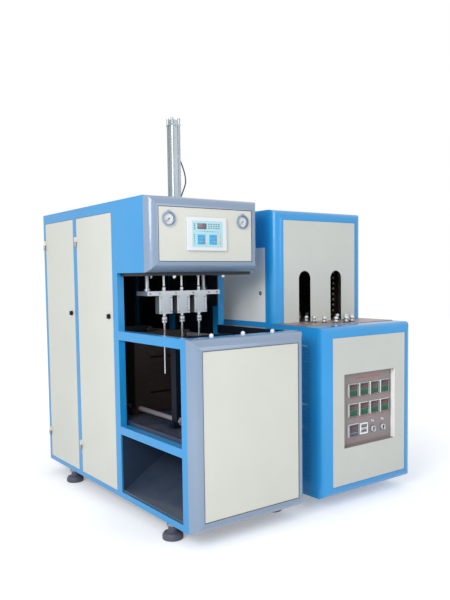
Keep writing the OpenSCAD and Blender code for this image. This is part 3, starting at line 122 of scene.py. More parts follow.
def make_coat_group():
    """Surface of one colour that varies in slow clouds, with uneven gloss and a grain."""
    group, given, made = group_shell(
        "sprayed_coat",
        [("Colour", "Color", (0.5, 0.5, 0.5, 1)), ("Clouding", "Float", 0.06),
         ("Roughness", "Float", 0.35), ("Peel Scale", "Float", 380.0)],
        [("Colour", "Color"), ("Roughness", "Float"), ("Height", "Float")])
    place = add_node(group, "ShaderNodeTexCoord").outputs["Object"]
    clouds = fill(add_node(group, "ShaderNodeTexNoise"), Scale=2.2, Detail=5.0, Roughness=0.55)
    speck = fill(add_node(group, "ShaderNodeTexNoise"), Scale=46.0, Detail=3.0, Roughness=0.6)
    peel = fill(add_node(group, "ShaderNodeTexNoise"), Detail=2.0, Roughness=0.5)
    spread = fill(add_node(group, "ShaderNodeMapRange"), From__Min=0.3, From__Max=0.7, To__Min=-1.0, To__Max=1.0)
    depth = add_node(group, "ShaderNodeMath", operation="MULTIPLY_ADD")
    depth.inputs[2].default_value = 1.0
    shade = add_node(group, "ShaderNodeHueSaturation")
    gloss = add_node(group, "ShaderNodeMath", operation="MULTIPLY_ADD")
    gloss.inputs[1].default_value = 0.12
    less = add_node(group, "ShaderNodeMath", operation="SUBTRACT")
    less.inputs[1].default_value = 0.06
    wire(group,
         (place, clouds.inputs["Vector"]), (place, speck.inputs["Vector"]), (place, peel.inputs["Vector"]),
         (given["Peel Scale"], peel.inputs["Scale"]),
         (clouds.outputs["Fac"], spread.inputs["Value"]), (spread.outputs["Result"], depth.inputs[0]),
         (given["Clouding"], depth.inputs[1]), (depth.outputs[0], shade.inputs["Value"]),
         (given["Colour"], shade.inputs["Color"]), (shade.outputs["Color"], made["Colour"]),
         (speck.outputs["Fac"], gloss.inputs[0]), (given["Roughness"], gloss.inputs[2]),
         (gloss.outputs[0], less.inputs[0]), (less.outputs[0], made["Roughness"]),
         (peel.outputs["Fac"], made["Height"]))
    return group


sprayed_coat = make_coat_group()


def coat_surface(tree, bsdf, coat, tone, strength, depth):
    """Feeds the shader with a coat's gloss and grain, and with the colour that it ends in."""
    relief = fill(add_node(tree, "ShaderNodeBump"), Strength=strength, Distance=depth)
    wire(tree, (tone, bsdf.inputs["Base Color"]), (coat["Roughness"], bsdf.inputs["Roughness"]),
         (coat["Height"], relief.inputs["Height"]), (relief.outputs["Normal"], bsdf.inputs["Normal"]))


def plain_finish(name, tone, roughness, metallic=0.0, grain=60.0, depth=0.0001, mottle=0.15, **settings):
    """A moulded or machined surface: mottled colour and gloss over a fine grain."""
    material, tree, bsdf = new_material(name)
    coat = use_group(tree, sprayed_coat, Colour=tone, Clouding=mottle, Roughness=roughness, Peel__Scale=grain)
    coat_surface(tree, bsdf, coat, coat["Colour"], 0.4, depth)
    fill(bsdf, Metallic=metallic, **settings)
    return material


hose_points = [(370, 714, 2158), (371, 714, 2138), (374.5, 713.5, 2117), (380, 712.5, 2096),
               (386.5, 711.5, 2076), (394, 710, 2056), (403, 708.5, 2035), (412.5, 707, 2014),
               (421.5, 705, 1994), (430.5, 703, 1974), (439.5, 701, 1953), (448, 699, 1932),
               (454.5, 697, 1912), (460, 695, 1892), (464, 693, 1871), (466, 691.5, 1850),
               (464.5, 690, 1830), (459, 688.5, 1811), (450.5, 687.5, 1792), (441.5, 686.5, 1773),
               (433, 685.5, 1754), (426.5, 685, 1735), (424, 685, 1716)]
hose_line = bpy.data.curves.new("air_hose_tube", "CURVE")
hose_line.dimensions = "3D"
hose_line.bevel_depth = 0.004
hose_line.bevel_resolution = 6
hose_line.resolution_u = 6
hose_run = hose_line.splines.new("BEZIER")
hose_run.bezier_points.add(len(hose_points) - 1)
for knot, place in zip(hose_run.bezier_points, hose_points):
    knot.co = spot(*place)
    knot.handle_left_type = knot.handle_right_type = "AUTO"
air_hose_tube = bpy.data.objects.new("air_hose_tube", hose_line)
bpy.context.collection.objects.link(air_hose_tube)
hose_line.materials.append(plain_finish("blue_hose", colour(24, 38, 82), 0.32, grain=200.0, mottle=0.08,
                                        Coat__Weight=0.3, Coat__Roughness=0.2))
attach(air_hose_tube, "machine")
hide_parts("air_hose")


# A plain pale floor with a white surround, and soft studio light: a broad lamp from the
# front left, a weaker one from the front right, and an even sky.
def soft_lamp(name, place, aim, size, watts):
    """A round area lamp at a place, turned to what it lights."""
    lamp_data = bpy.data.lights.new(name, "AREA")
    lamp_data.shape = "DISK"
    lamp_data.size = size
    lamp_data.energy = watts
    lamp = bpy.data.objects.new(name, lamp_data)
    bpy.context.collection.objects.link(lamp)
    lamp.location = place
    lamp.rotation_euler = (Vector(aim) - Vector(place)).to_track_quat("-Z", "Y").to_euler()


def seen_share(tree):
    """1 for rays from the camera, and for what metal and glass show of the surround."""
    path = add_node(tree, "ShaderNodeLightPath").outputs
    first = add_node(tree, "ShaderNodeMath", operation="ADD")
    both = add_node(tree, "ShaderNodeMath", operation="ADD", use_clamp=True)
    wire(tree, (path["Is Camera Ray"], first.inputs[0]), (path["Is Glossy Ray"], first.inputs[1]),
         (first.outputs[0], both.inputs[0]), (path["Is Transmission Ray"], both.inputs[1]))
    return both.outputs[0]


soft_lamp("key_lamp", (-4.5, -2.9, 3.0), (0, 0, 1.0), 2.6, 150)
soft_lamp("front_lamp", (1.8, -5.5, 2.8), (0.3, 0, 1.0), 3.0, 45)

world = bpy.data.worlds.new("studio")
bpy.context.scene.world = world
world.use_nodes = True
world.node_tree.nodes.clear()
sky_light = fill(add_node(world.node_tree, "ShaderNodeBackground"), Color=(0.95, 0.97, 1.0, 1), Strength=0.66)
white_surround = fill(add_node(world.node_tree, "ShaderNodeBackground"), Color=(1, 1, 1, 1))
surround_mix = add_node(world.node_tree, "ShaderNodeMixShader")
world_out = add_node(world.node_tree, "ShaderNodeOutputWorld")
wire(world.node_tree, (seen_share(world.node_tree), surround_mix.inputs["Fac"]),
     (sky_light.outputs[0], surround_mix.inputs[1]), (white_surround.outputs[0], surround_mix.inputs[2]),
     (surround_mix.outputs[0], world_out.inputs["Surface"]))

floor_mesh = bpy.data.meshes.new("studio_floor")
floor_bm = bmesh.new()
bmesh.ops.create_grid(floor_bm, x_segments=1, y_segments=1, size=14)
floor_bm.to_mesh(floor_mesh)
floor_bm.free()
floor = bpy.data.objects.new("studio_floor", floor_mesh)
bpy.context.collection.objects.link(floor)
floor_paint, floor_tree, floor_bsdf = new_material("pale_floor")
fill(floor_bsdf, Base__Color=(0.9, 0.9, 0.9, 1), Roughness=0.9, Specular__IOR__Level=0.1,
     Emission__Color=(1, 1, 1, 1))
floor_place = add_node(floor_tree, "ShaderNodeTexCoord")
floor_reach = add_node(floor_tree, "ShaderNodeVectorMath", operation="LENGTH")
floor_fade = fill(add_node(floor_tree, "ShaderNodeMapRange"), From__Min=1.3, From__Max=3.0,
                  To__Min=0.3, To__Max=0.47)
floor_glow = add_node(floor_tree, "ShaderNodeMath", operation="MULTIPLY")
wire(floor_tree, (floor_place.outputs["Object"], floor_reach.inputs[0]),
     (floor_reach.outputs["Value"], floor_fade.inputs["Value"]), (seen_share(floor_tree), floor_glow.inputs[0]),
     (floor_fade.outputs["Result"], floor_glow.inputs[1]),
     (floor_glow.outputs[0], floor_bsdf.inputs["Emission Strength"]))
floor_mesh.materials.append(floor_paint)


# The welded tube frames and the folded head cover are steel, sprayed sky blue. The coat
# has a faint orange peel and is worn to steel on sharp edges. Inside the head, over the
# clamp and along the right rail, dark navy is painted over the blue as painted shade.
def make_edge_group():
    """Mask of the sharp edges, broken up by noise: 1 where the coat has worn off."""
    group, given, made = group_shell("worn_edges", [("Width", "Float", 0.002), ("Amount", "Float", 0.5)],
                                     [("Mask", "Float")])
    round_off = add_node(group, "ShaderNodeBevel", samples=4)
    facing = add_node(group, "ShaderNodeNewGeometry")
    match = add_node(group, "ShaderNodeVectorMath", operation="DOT_PRODUCT")
    turned_away = fill(add_node(group, "ShaderNodeMapRange"), From__Min=0.995, From__Max=0.9)
    place = add_node(group, "ShaderNodeTexCoord")
    rub = fill(add_node(group, "ShaderNodeTexNoise"), Scale=28.0, Detail=6.0, Roughness=0.7)
    patches = fill(add_node(group, "ShaderNodeMapRange"), From__Min=0.55, From__Max=0.72)
    both = add_node(group, "ShaderNodeMath", operation="MULTIPLY")
    share = add_node(group, "ShaderNodeMath", operation="MULTIPLY", use_clamp=True)
    wire(group,
         (given["Width"], round_off.inputs["Radius"]), (round_off.outputs["Normal"], match.inputs[0]),
         (facing.outputs["Normal"], match.inputs[1]), (match.outputs["Value"], turned_away.inputs["Value"]),
         (place.outputs["Object"], rub.inputs["Vector"]), (rub.outputs["Fac"], patches.inputs["Value"]),
         (turned_away.outputs["Result"], both.inputs[0]), (patches.outputs["Result"], both.inputs[1]),
         (both.outputs[0], share.inputs[0]), (given["Amount"], share.inputs[1]), (share.outputs[0], made["Mask"]))
    return group


def make_dust_group():
    """Mask of settled dust: on faces that look up, and low down near the floor."""
    group, given, made = group_shell("settled_dust", [("Amount", "Float", 0.3)], [("Mask", "Float")])
    facing = add_node(group, "ShaderNodeNewGeometry")
    split = add_node(group, "ShaderNodeSeparateXYZ")
    up = fill(add_node(group, "ShaderNodeMapRange"), From__Min=0.6, From__Max=1.0)
    place = add_node(group, "ShaderNodeTexCoord")
    heights = add_node(group, "ShaderNodeSeparateXYZ")
    low = fill(add_node(group, "ShaderNodeMapRange"), From__Min=0.42, From__Max=0.08, To__Max=0.3)
    most = add_node(group, "ShaderNodeMath", operation="MAXIMUM")
    drift = fill(add_node(group, "ShaderNodeTexNoise"), Scale=7.0, Detail=7.0, Roughness=0.65)
    patches = fill(add_node(group, "ShaderNodeMapRange"), From__Min=0.38, From__Max=0.72)
    both = add_node(group, "ShaderNodeMath", operation="MULTIPLY")
    share = add_node(group, "ShaderNodeMath", operation="MULTIPLY", use_clamp=True)
    wire(group,
         (facing.outputs["Normal"], split.inputs[0]), (split.outputs["Z"], up.inputs["Value"]),
         (place.outputs["Object"], heights.inputs[0]), (heights.outputs["Z"], low.inputs["Value"]),
         (up.outputs["Result"], most.inputs[0]), (low.outputs["Result"], most.inputs[1]),
         (place.outputs["Object"], drift.inputs["Vector"]), (drift.outputs["Fac"], patches.inputs["Value"]),
         (most.outputs[0], both.inputs[0]), (patches.outputs["Result"], both.inputs[1]),
         (both.outputs[0], share.inputs[0]), (given["Amount"], share.inputs[1]), (share.outputs[0], made["Mask"]))
    return group


def make_room_group():
    """Mask that is 1 between two corners, for a painted shade or painted light that covers a room."""
    group, given, made = group_shell("inside_room", [("Low", "Vector", (0, 0, 0)), ("High", "Vector", (1, 1, 1))],
                                     [("Mask", "Float")])
    place = add_node(group, "ShaderNodeTexCoord").outputs["Object"]
    depths = []
    for further, nearer in ((place, given["Low"]), (given["High"], place)):
        away = add_node(group, "ShaderNodeVectorMath", operation="SUBTRACT")
        split = add_node(group, "ShaderNodeSeparateXYZ")
        wire(group, (further, away.inputs[0]), (nearer, away.inputs[1]), (away.outputs["Vector"], split.inputs[0]))
        depths += [split.outputs[axis] for axis in "XYZ"]
    least = depths[0]
    for other in depths[1:]:
        smaller = add_node(group, "ShaderNodeMath", operation="MINIMUM")
        wire(group, (least, smaller.inputs[0]), (other, smaller.inputs[1]))
        least = smaller.outputs[0]
    inside = add_node(group, "ShaderNodeMath", operation="GREATER_THAN")
    inside.inputs[1].default_value = 0.0
    wire(group, (least, inside.inputs[0]), (inside.outputs[0], made["Mask"]))
    return group


worn_edges = make_edge_group()
settled_dust = make_dust_group()
inside_room = make_room_group()
bare_steel = colour(150, 152, 155)
dust_tone = colour(150, 145, 135)


def blend_colour(tree, mask, first, second):
    """Mixes two colours by a mask; each is a socket or a plain colour."""
    mix = add_node(tree, "ShaderNodeMix", data_type="RGBA")
    for socket, value in ((mix.inputs[6], first), (mix.inputs[7], second)):
        if isinstance(value, bpy.types.NodeSocket):
            wire(tree, (value, socket))
        else:
            socket.default_value = value
    wire(tree, (mask, mix.inputs["Factor"]))
    return mix.outputs[2]


def painted_metal(name, tone, roughness=0.35, gloss_coat=0.25, clouding=0.05, peel=380.0, peel_depth=0.00004,
                  wear=0.3, dust=0.15, inside=(), painted_light_shade_tone=colour(13, 19, 30), spots=None, **settings):
    """Sprayed sheet or tube: coat, worn edges down to steel, a little dust, and where
    asked spots of another colour. Inside the given rooms one flat tone is painted over it all:
    by default a dark navy as painted shade; a pale tone given instead is painted light."""
    material, tree, bsdf = new_material(name)
    coat = use_group(tree, sprayed_coat, Colour=tone, Clouding=clouding, Roughness=roughness, Peel__Scale=peel)
    edges = use_group(tree, worn_edges, Width=0.0016, Amount=wear)
    dirt = use_group(tree, settled_dust, Amount=dust)
    seen = coat["Colour"]
    if spots:
        place = add_node(tree, "ShaderNodeTexCoord")
        stain = fill(add_node(tree, "ShaderNodeTexNoise"), Scale=55.0, Detail=8.0, Roughness=0.7)
        patches = fill(add_node(tree, "ShaderNodeMapRange"), From__Min=0.56, From__Max=0.66)
        wire(tree, (place.outputs["Object"], stain.inputs["Vector"]), (stain.outputs["Fac"], patches.inputs["Value"]))
        seen = blend_colour(tree, patches.outputs["Result"], seen, spots)
    seen = blend_colour(tree, edges["Mask"], seen, bare_steel)
    seen = blend_colour(tree, dirt["Mask"], seen, dust_tone)
    # Each room is covered with one flat tone: painted shade where it lies in shadow, painted light where light falls.
    for low, high in inside:
        room = use_group(tree, inside_room, Low=spot(*low), High=spot(*high))
        seen = blend_colour(tree, room["Mask"], seen, painted_light_shade_tone)
    coat_surface(tree, bsdf, coat, seen, 0.35, peel_depth)
    wire(tree, (edges["Mask"], bsdf.inputs["Metallic"]))
    fill(bsdf, Coat__Weight=gloss_coat, Coat__Roughness=0.12, **settings)
    return material


def finish_nodes(material, *names):
    """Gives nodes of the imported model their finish, in every slot they have."""
    for name in names:
        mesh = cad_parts[name].data
        if not mesh.materials:
            mesh.materials.append(material)
        for slot in range(len(mesh.materials)):
            mesh.materials[slot] = material


# These rooms lie in shadow: inside the head, over the clamp and by the right rail. The blue is painted dark navy
# there as painted shade.
head_shade_room = ((2, 400, 1290), (738, 1784, 1697.5))
clamp_shade_room = ((49.9, 52, 400), (689.9, 1732, 1290))
right_rail_shade_room = ((600, 52, 880), (739.5, 699, 966))
sky_blue = painted_metal("sky_blue_paint", colour(22, 144, 208), roughness=0.33,
                         inside=[head_shade_room, clamp_shade_room, right_rail_shade_room])
finish_nodes(sky_blue, "rear_frame", "front_frame", "head_shell", "top_cover")


# The bezels round the blow unit's two fronts are rolled from steel sheet and sprayed in
# glossy grey blue. They are screwed to the front frame and the head from behind.
bezel_paint = painted_metal("grey_blue_bezel_paint", colour(128, 148, 173), roughness=0.22, gloss_coat=0.6,
                            wear=0.0, dust=0.0, clouding=0.03, peel_depth=0.00001)
finish_nodes(bezel_paint, "head_bezel", "front_bezel")


# Doors and fronts are folded steel sheet in light beige powder coat, satin and fine in
# grain. The fixed panels behind them are the same sheet; their inner side is painted dark
# navy as painted shade.
beige_coat = dict(tone=colour(209, 211, 202), roughness=0.46, gloss_coat=0.05, clouding=0.03, peel=620.0,
                  wear=0.15, dust=0.1)
finish_nodes(painted_metal("beige_powder_coat", **beige_coat),
             "head_panel", "front_panel", "side_door_front", "side_door_rear")
body_shade_room = ((3, 52, 20), (739.2, 1786, 1697))
finish_nodes(painted_metal("beige_coat_painted_shade_inside", inside=[body_shade_room], **beige_coat),
             "right_panels", "rear_panel")


# The heater's shell is bent from one steel sheet, rolled at the front edges and sprayed a
# deeper blue. Inside the oven and the base it is painted dark as painted shade.
heater_left, heater_mid = 895, 1281
oven_shade_room = ((heater_left + 3.5, 460, 900), (heater_left + 768.5, 1368, 1590))
base_shade_room = ((heater_left + 3.5, 45, 0), (heater_left + 768.5, 1368, 900))
deep_blue = painted_metal("deep_blue_paint", colour(34, 148, 214), roughness=0.3, inside=[oven_shade_room, base_shade_room])
finish_nodes(deep_blue, "heater_shell")


# The heater's panels are folded sheet too: its fronts in a slightly greyer powder coat,
# its side panels in a paler one, painted paler as painted light on the side that lies in
# the shade between the cabinets. They hang on the shell's edges.
grey_coat = painted_metal("grey_powder_coat", colour(197, 200, 195), roughness=0.46, gloss_coat=0.05,
                          clouding=0.04, peel=620.0, wear=0.1, dust=0.1)
finish_nodes(grey_coat, "heater_front_panels")
side_panel_painted_light = painted_metal("side_panel_coat_painted_light", colour(240, 240, 236), roughness=0.46, gloss_coat=0.05,
                          clouding=0.03, peel=620.0, wear=0.0, dust=0.05)
finish_nodes(side_panel_painted_light, "heater_side_panels")


# Both cabinets stand on levelling feet: a rubber-faced pad on a threaded stud, locked
# under the frame by a zinc-plated steel nut.
def turned_part(bm, base, axis, profile, steps=24, flats=()):
    """A turned part: (radius, height) pairs in millimetres about an axis from a base.
    The pairs whose places are in flats get six flat sides."""
    row = [bm.verts.new((radius / 1000, 0, height / 1000)) for radius, height in profile]
    lines = [bm.edges.new(pair) for pair in zip(row, row[1:])]
    bmesh.ops.spin(bm, geom=row + lines, cent=(0, 0, 0), axis=(0, 0, 1), dvec=(0, 0, 0),
                   angle=math.tau, steps=steps, use_merge=True, use_duplicate=False)
    verts = set(row)
    reach = row
    while reach:
        reach = list({other for vert in reach for rim in vert.link_edges for other in rim.verts} - verts)
        verts.update(reach)
    flat_pairs = {(round(profile[n][0], 3), round(profile[n][1], 3)) for n in flats}
    turn = Vector(axis).to_track_quat("Z", "Y").to_matrix()
    for vert in verts:
        radius = math.hypot(vert.co.x, vert.co.y) * 1000
        if (round(radius, 3), round(vert.co.z * 1000, 3)) in flat_pairs:
            lean = math.atan2(vert.co.y, vert.co.x) % (math.pi / 3) - math.pi / 6
            shrink = math.cos(math.pi / 6) / math.cos(lean)
            vert.co.x *= shrink
            vert.co.y *= shrink
        vert.co = spot(*base) + turn @ vert.co


def new_piece(name, bm, materials, body="machine", merge=True):
    """Makes the piece: one mesh, sharp edges kept, on the body that carries it."""
    if merge:
        bmesh.ops.remove_doubles(bm, verts=bm.verts, dist=0.000004)
        bmesh.ops.recalc_face_normals(bm, faces=bm.faces)
    for face in bm.faces:
        face.smooth = True
    for rim in bm.edges:
        rim.smooth = len(rim.link_faces) == 2 and rim.calc_face_angle(0.0) < 0.6
    mesh = bpy.data.meshes.new(name)
    bm.to_mesh(mesh)
    bm.free()
    piece = bpy.data.objects.new(name, mesh)
    bpy.context.collection.objects.link(piece)
    for material in materials if isinstance(materials, list) else [materials]:
        mesh.materials.append(material)
    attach(piece, body)


black_rubber = plain_finish("black_rubber", colour(82, 82, 97), 0.6, grain=300.0)
zinc_plate = plain_finish("zinc_plate", colour(150, 154, 162), 0.36, metallic=1.0, mottle=0.08)
finish_nodes(black_rubber, "levelling_feet")
foot_nuts = bmesh.new()
foot_places = [(x, y, 0) for x in (30, 710) for y in (200, 1435)]
foot_places += [(heater_left + x, -35 + y, -15) for x in (250, 522) for y in (250, 1158)]
for x, y, z in foot_places:
    turned_part(foot_nuts, (x, y, z - 1), (0, 0, -1),
                [(24.3, 0), (36, 0), (36, 12), (34, 14), (24.3, 14), (24.3, 0)], 36, (1, 2, 3))
new_piece("foot_lock_nuts", foot_nuts, zinc_plate)


# Each side door hangs on two zinc-plated steel hinges and is held by a quarter-turn latch
# with a moulded black grip. Three white moulded domes cap the bolts of the front's top edge.
black_plastic = plain_finish("black_plastic", colour(24, 24, 27), 0.4)
white_plastic = plain_finish("white_plastic", colour(222, 226, 230), 0.35, mottle=0.04)
finish_nodes(zinc_plate, "door_hinges")
finish_nodes(black_plastic, "door_latch_front", "door_latch_rear")
finish_nodes(white_plastic, "top_knobs")


# The rear panel is held by fifteen zinc-plated button-head screws with a hexagon socket,
# in three columns of five, screwed into the rear frame.
panel_screws = bmesh.new()
for x in (34, 370, 706):
    for z in (34, 440, 850, 1310, 1676):
        turned_part(panel_screws, (x, 1788, z), (0, 1, 0),
                    [(0, 0), (7.5, 0), (7.5, 1.0), (5.6, 1.0), (5.4, 2.2), (4.0, 3.4), (2.3, 3.8), (2.3, 1.8),
                     (0, 1.8)], 24, (6, 7))
new_piece("rear_panel_screws", panel_screws, zinc_plate)


# Strips of dark rubber lie round both beige fronts of the blow unit. They are pushed on the
# panels' edges and close the gap to their bezels; their dark colour is painted shade for the
# shadow in that gap.
def box_part(bm, low, high, edge=0.0):
    """A box between two corners in millimetres; its edges are rounded where asked."""
    verts = bmesh.ops.create_cube(bm, size=1.0)["verts"]
    first, last = spot(*low), spot(*high)
    for vert in verts:
        vert.co = Vector([(a + b) / 2 + share * (b - a) for a, b, share in zip(first, last, vert.co)])
    if edge:
        rims = list({rim for vert in verts for rim in vert.link_edges})
        bmesh.ops.bevel(bm, geom=rims, offset=edge / 1000, offset_type="OFFSET", segments=2, profile=0.5,
                        affect="EDGES", material=-1)
    return verts


strip_half, strip_thick = 1.6, 2.1
front_middle, front_half = 370, 313
inset = 2 * strip_half + 0.1
gap_shade_strips = bmesh.new()
for front, low, high in ((-56.95, 57, 908), (333.05, 1350, 1643)):
    for side in (-1, 1):
        x = front_middle + side * (front_half - strip_half)
        box_part(gap_shade_strips, (x - strip_half, front, low), (x + strip_half, front + strip_thick, high), 0.5)
    for z in (low + strip_half, high - strip_half):
        box_part(gap_shade_strips, (front_middle - front_half + inset, front, z - strip_half),
                 (front_middle + front_half - inset, front + strip_thick, z + strip_half), 0.5)
# The strips' dark colour is painted shade for the gap round the panels.
gap_shade_rubber = plain_finish("gap_shade_rubber", colour(52, 56, 66), 0.5, grain=250.0)
new_piece("panel_gap_shade_strips", gap_shade_strips, gap_shade_rubber)


# The clamp is machined iron: a painted base with two ways, a fixed front platen, a rusty
# moving platen and a tail plate on four drawn steel rods, closed by a zinc-plated cylinder.
rod_steel = plain_finish("drawn_rod_steel", colour(150, 145, 150), 0.5, metallic=0.4, mottle=0.12)
bright_steel = plain_finish("ground_steel", colour(205, 207, 210), 0.24, metallic=1.0, mottle=0.05)
grey_paint = painted_metal("grey_blue_machine_paint", colour(38, 47, 68), roughness=0.45, dust=0.2)
navy_paint = painted_metal("navy_machine_paint", colour(10, 18, 32), roughness=0.6, gloss_coat=0.05, dust=0.0,
                           wear=0.1, Specular__IOR__Level=0.15)
dark_paint = painted_metal("dark_machine_paint", colour(24, 29, 40), roughness=0.6, gloss_coat=0.05, dust=0.1)
rusty_iron = painted_metal("rusty_machined_iron", colour(30, 20, 17), roughness=0.6, clouding=0.4, gloss_coat=0,
                           spots=colour(64, 36, 25), dust=0.1)
finish_nodes(grey_paint, "clamp_base")
finish_nodes(navy_paint, "front_platen")
finish_nodes(rusty_iron, "moving_platen")
finish_nodes(dark_paint, "tail_plate")
finish_nodes(rod_steel, "tie_rods")
finish_nodes(bright_steel, "clamp_piston")
finish_nodes(zinc_plate, "clamp_cylinder", "sync_pinion")


# Under the clamp a chute of folded, painted sheet takes the bottles to the open side. It
# is welded between the front frame's tubes.
chute_paint = painted_metal("chute_paint", colour(36, 52, 74), roughness=0.45, dust=0.15)
finish_nodes(chute_paint, "bottle_chute")


# The solenoid valves inside the right wall stand on a dark manifold. Their coils carry
# square moulded plugs, and brass push-in fittings are screwed into the manifold.
brass = plain_finish("fitting_brass", colour(168, 140, 84), 0.34, metallic=1.0, mottle=0.1)
finish_nodes(dark_paint, "valve_bank")
valve_plugs, valve_fittings = bmesh.new(), bmesh.new()
for place in range(6):
    y = 794 + place * 64
    box_part(valve_plugs, (659, y + 11, 1250.1), (679, y + 33, 1264), 1.2)
    turned_part(valve_plugs, (669, y + 22, 1264), (0, 0, 1), [(0, 0), (3.2, 0), (3.2, 1.4), (2.4, 2.0), (0, 2.0)], 18)
    box_part(valve_plugs, (652.4, y + 10, 1172), (653.9, y + 34, 1200), 0.4)
    for across in (11, 33):
        turned_part(valve_fittings, (650, y + across, 1138), (-1, 0, 0),
                    [(0, 0), (7.6, 0), (7.6, 5), (5.8, 6), (5.8, 12), (4.2, 12.6), (4.2, 9), (0, 9)], 24, (1, 2))
new_piece("valve_plugs", valve_plugs, black_plastic)
new_piece("valve_fittings", valve_fittings, brass)


# Two dark painted steel plates close the head from below. The lower one is held by four
# bright domed nuts, of which one shows.
finish_nodes(dark_paint, "head_plates")
dome_nuts = bmesh.new()
for y in (420, 678):
    for x in (205, 535):
        turned_part(dome_nuts, (x, y, 1276), (0, 0, -1),
                    [(0, 0), (12, 0), (12, 1.6), (9.8, 1.6), (9.8, 9), (8.2, 10), (8.0, 13), (6.0, 16.5),
                     (3.0, 18.2), (0, 18.6)], 30, (3, 4))
new_piece("head_plate_nuts", dome_nuts, bright_steel)


# The nozzle unit is milled alloy: a beam on two cylinders' rods with three finned blocks,
# screwed together, and a ground steel blow nozzle with black wipers in each block.
milled_alloy = plain_finish("milled_alloy", colour(178, 184, 190), 0.36, metallic=0.85, mottle=0.05)
finish_nodes(milled_alloy, "nozzle_block", "nozzle_beam", "seal_cylinders")
finish_nodes(bright_steel, "blow_nozzles")
cavity_places = (250, 370, 490)
nozzle_screws = bmesh.new()
for cavity_x in cavity_places:
    for side in (-1, 1):
        for z in (1070, 1151):
            turned_part(nozzle_screws, (cavity_x + side * 36, 582, z), (0, -1, 0),
                        [(0, 0), (4.2, 0), (4.2, 3.4), (3.7, 4.0), (2.3, 4.0), (2.3, 1.6), (0, 1.6)], 24, (4, 5))
for x in (140, 200, 310, 430, 540, 600):
    turned_part(nozzle_screws, (x, 571, 1175), (0, -1, 0),
                [(0, 0), (5.0, 0), (5.0, 4.2), (4.4, 5.0), (2.7, 5.0), (2.7, 2.0), (0, 2.0)], 24, (4, 5))
new_piece("nozzle_screws", nozzle_screws, zinc_plate, "nozzle_unit")
wipers = bmesh.new()
for cavity_x in cavity_places:
    turned_part(wipers, (cavity_x, 609, 1212), (0, 0, 1),
                [(7.2, 0), (11.5, 0), (11.5, 2.0), (9.5, 3.4), (7.2, 3.4), (7.2, 0)], 28)
    turned_part(wipers, (cavity_x, 609, 1021), (0, 0, 1),
                [(17.0, -2.4), (17.7, -1.6), (17.7, 1.6), (17.0, 2.4), (16.4, 2.4), (16.4, -2.4), (17.0, -2.4)], 36)
new_piece("nozzle_seals", wipers, black_rubber, "nozzle_unit")


# The stretch cylinder on the head is a drawn alloy tube between two milled caps. Its dull
# rod pushes a painted crosshead, with three ground stretch rods, along two guide shafts.
drawn_alloy = plain_finish("anodised_alloy", colour(160, 168, 173), 0.42, metallic=0.75, mottle=0.05)
dull_steel = plain_finish("dull_rod_steel", colour(96, 100, 110), 0.34, metallic=1.0, mottle=0.1)
finish_nodes(drawn_alloy, "stretch_cylinder", "cylinder_caps")
finish_nodes(dull_steel, "stretch_piston")
finish_nodes(dark_paint, "crosshead")
finish_nodes(bright_steel, "crosshead_guides", "stretch_rods")


# Black moulded push-in collars grip the hose at the top cap's elbow and at the union that
# is screwed into the head cover.
hose_collars = bmesh.new()
turned_part(hose_collars, (370, 714, 2166), (0, 0, -1),
            [(4.4, 0), (6.8, 0), (7.4, 2), (7.4, 8), (6.6, 10), (4.4, 10), (4.4, 0)], 28)
turned_part(hose_collars, (424, 685, 1716), (0, 0, 1),
            [(4.4, 0), (6.8, 0), (7.4, 1), (7.4, 7), (6.6, 9), (4.4, 9), (4.4, 0)], 28)
new_piece("hose_collars", hose_collars, black_plastic)


# The two pressure gauges have painted steel cases, white dials, black pointers and clear
# lenses, which a thin plated ring holds. The dials are printed: fine and bold strokes round
# the edge, figures inside them and the unit below the pin.
def drawn_text(bm, text, middle, height):
    """Flat figures on a plane that faces the front, centred on a point."""
    curve = bpy.data.curves.new("figures", "FONT")
    curve.body = text
    curve.size = height / 1000
    curve.align_x = "CENTER"
    curve.align_y = "CENTER"
    carrier = bpy.data.objects.new("figures", curve)
    bpy.context.collection.objects.link(carrier)
    bpy.context.view_layer.update()
    letters = bpy.data.meshes.new_from_object(carrier.evaluated_get(bpy.context.evaluated_depsgraph_get()))
    letters.transform(Matrix.Translation(spot(*middle)) @ Matrix.Rotation(math.radians(90), 4, "X"))
    bm.from_mesh(letters)
    bpy.data.objects.remove(carrier)
    bpy.data.meshes.remove(letters)
    bpy.data.curves.remove(curve)


def tilted_strip(bm, middle, angle, near, far, width, depth=0.15):
    """A flat stroke that points out from a middle, on a plane that faces the front."""
    swing = Matrix.Rotation(-math.radians(angle), 3, "Y")
    for vert in box_part(bm, (near, 0, -width / 2), (far, depth, width / 2)):
        vert.co = spot(*middle) + swing @ (vert.co - spot(0, 0, 0))


finish_nodes(bezel_paint, "pressure_gauges")
finish_nodes(white_plastic, "gauge_dials")
finish_nodes(black_plastic, "gauge_needle_left", "gauge_needle_right")
lens_glass, _, lens_bsdf = new_material("gauge_glass")
fill(lens_bsdf, Roughness=0.03, Transmission__Weight=1.0, IOR=1.2, Alpha=0.15)
finish_nodes(lens_glass, "gauge_lenses")

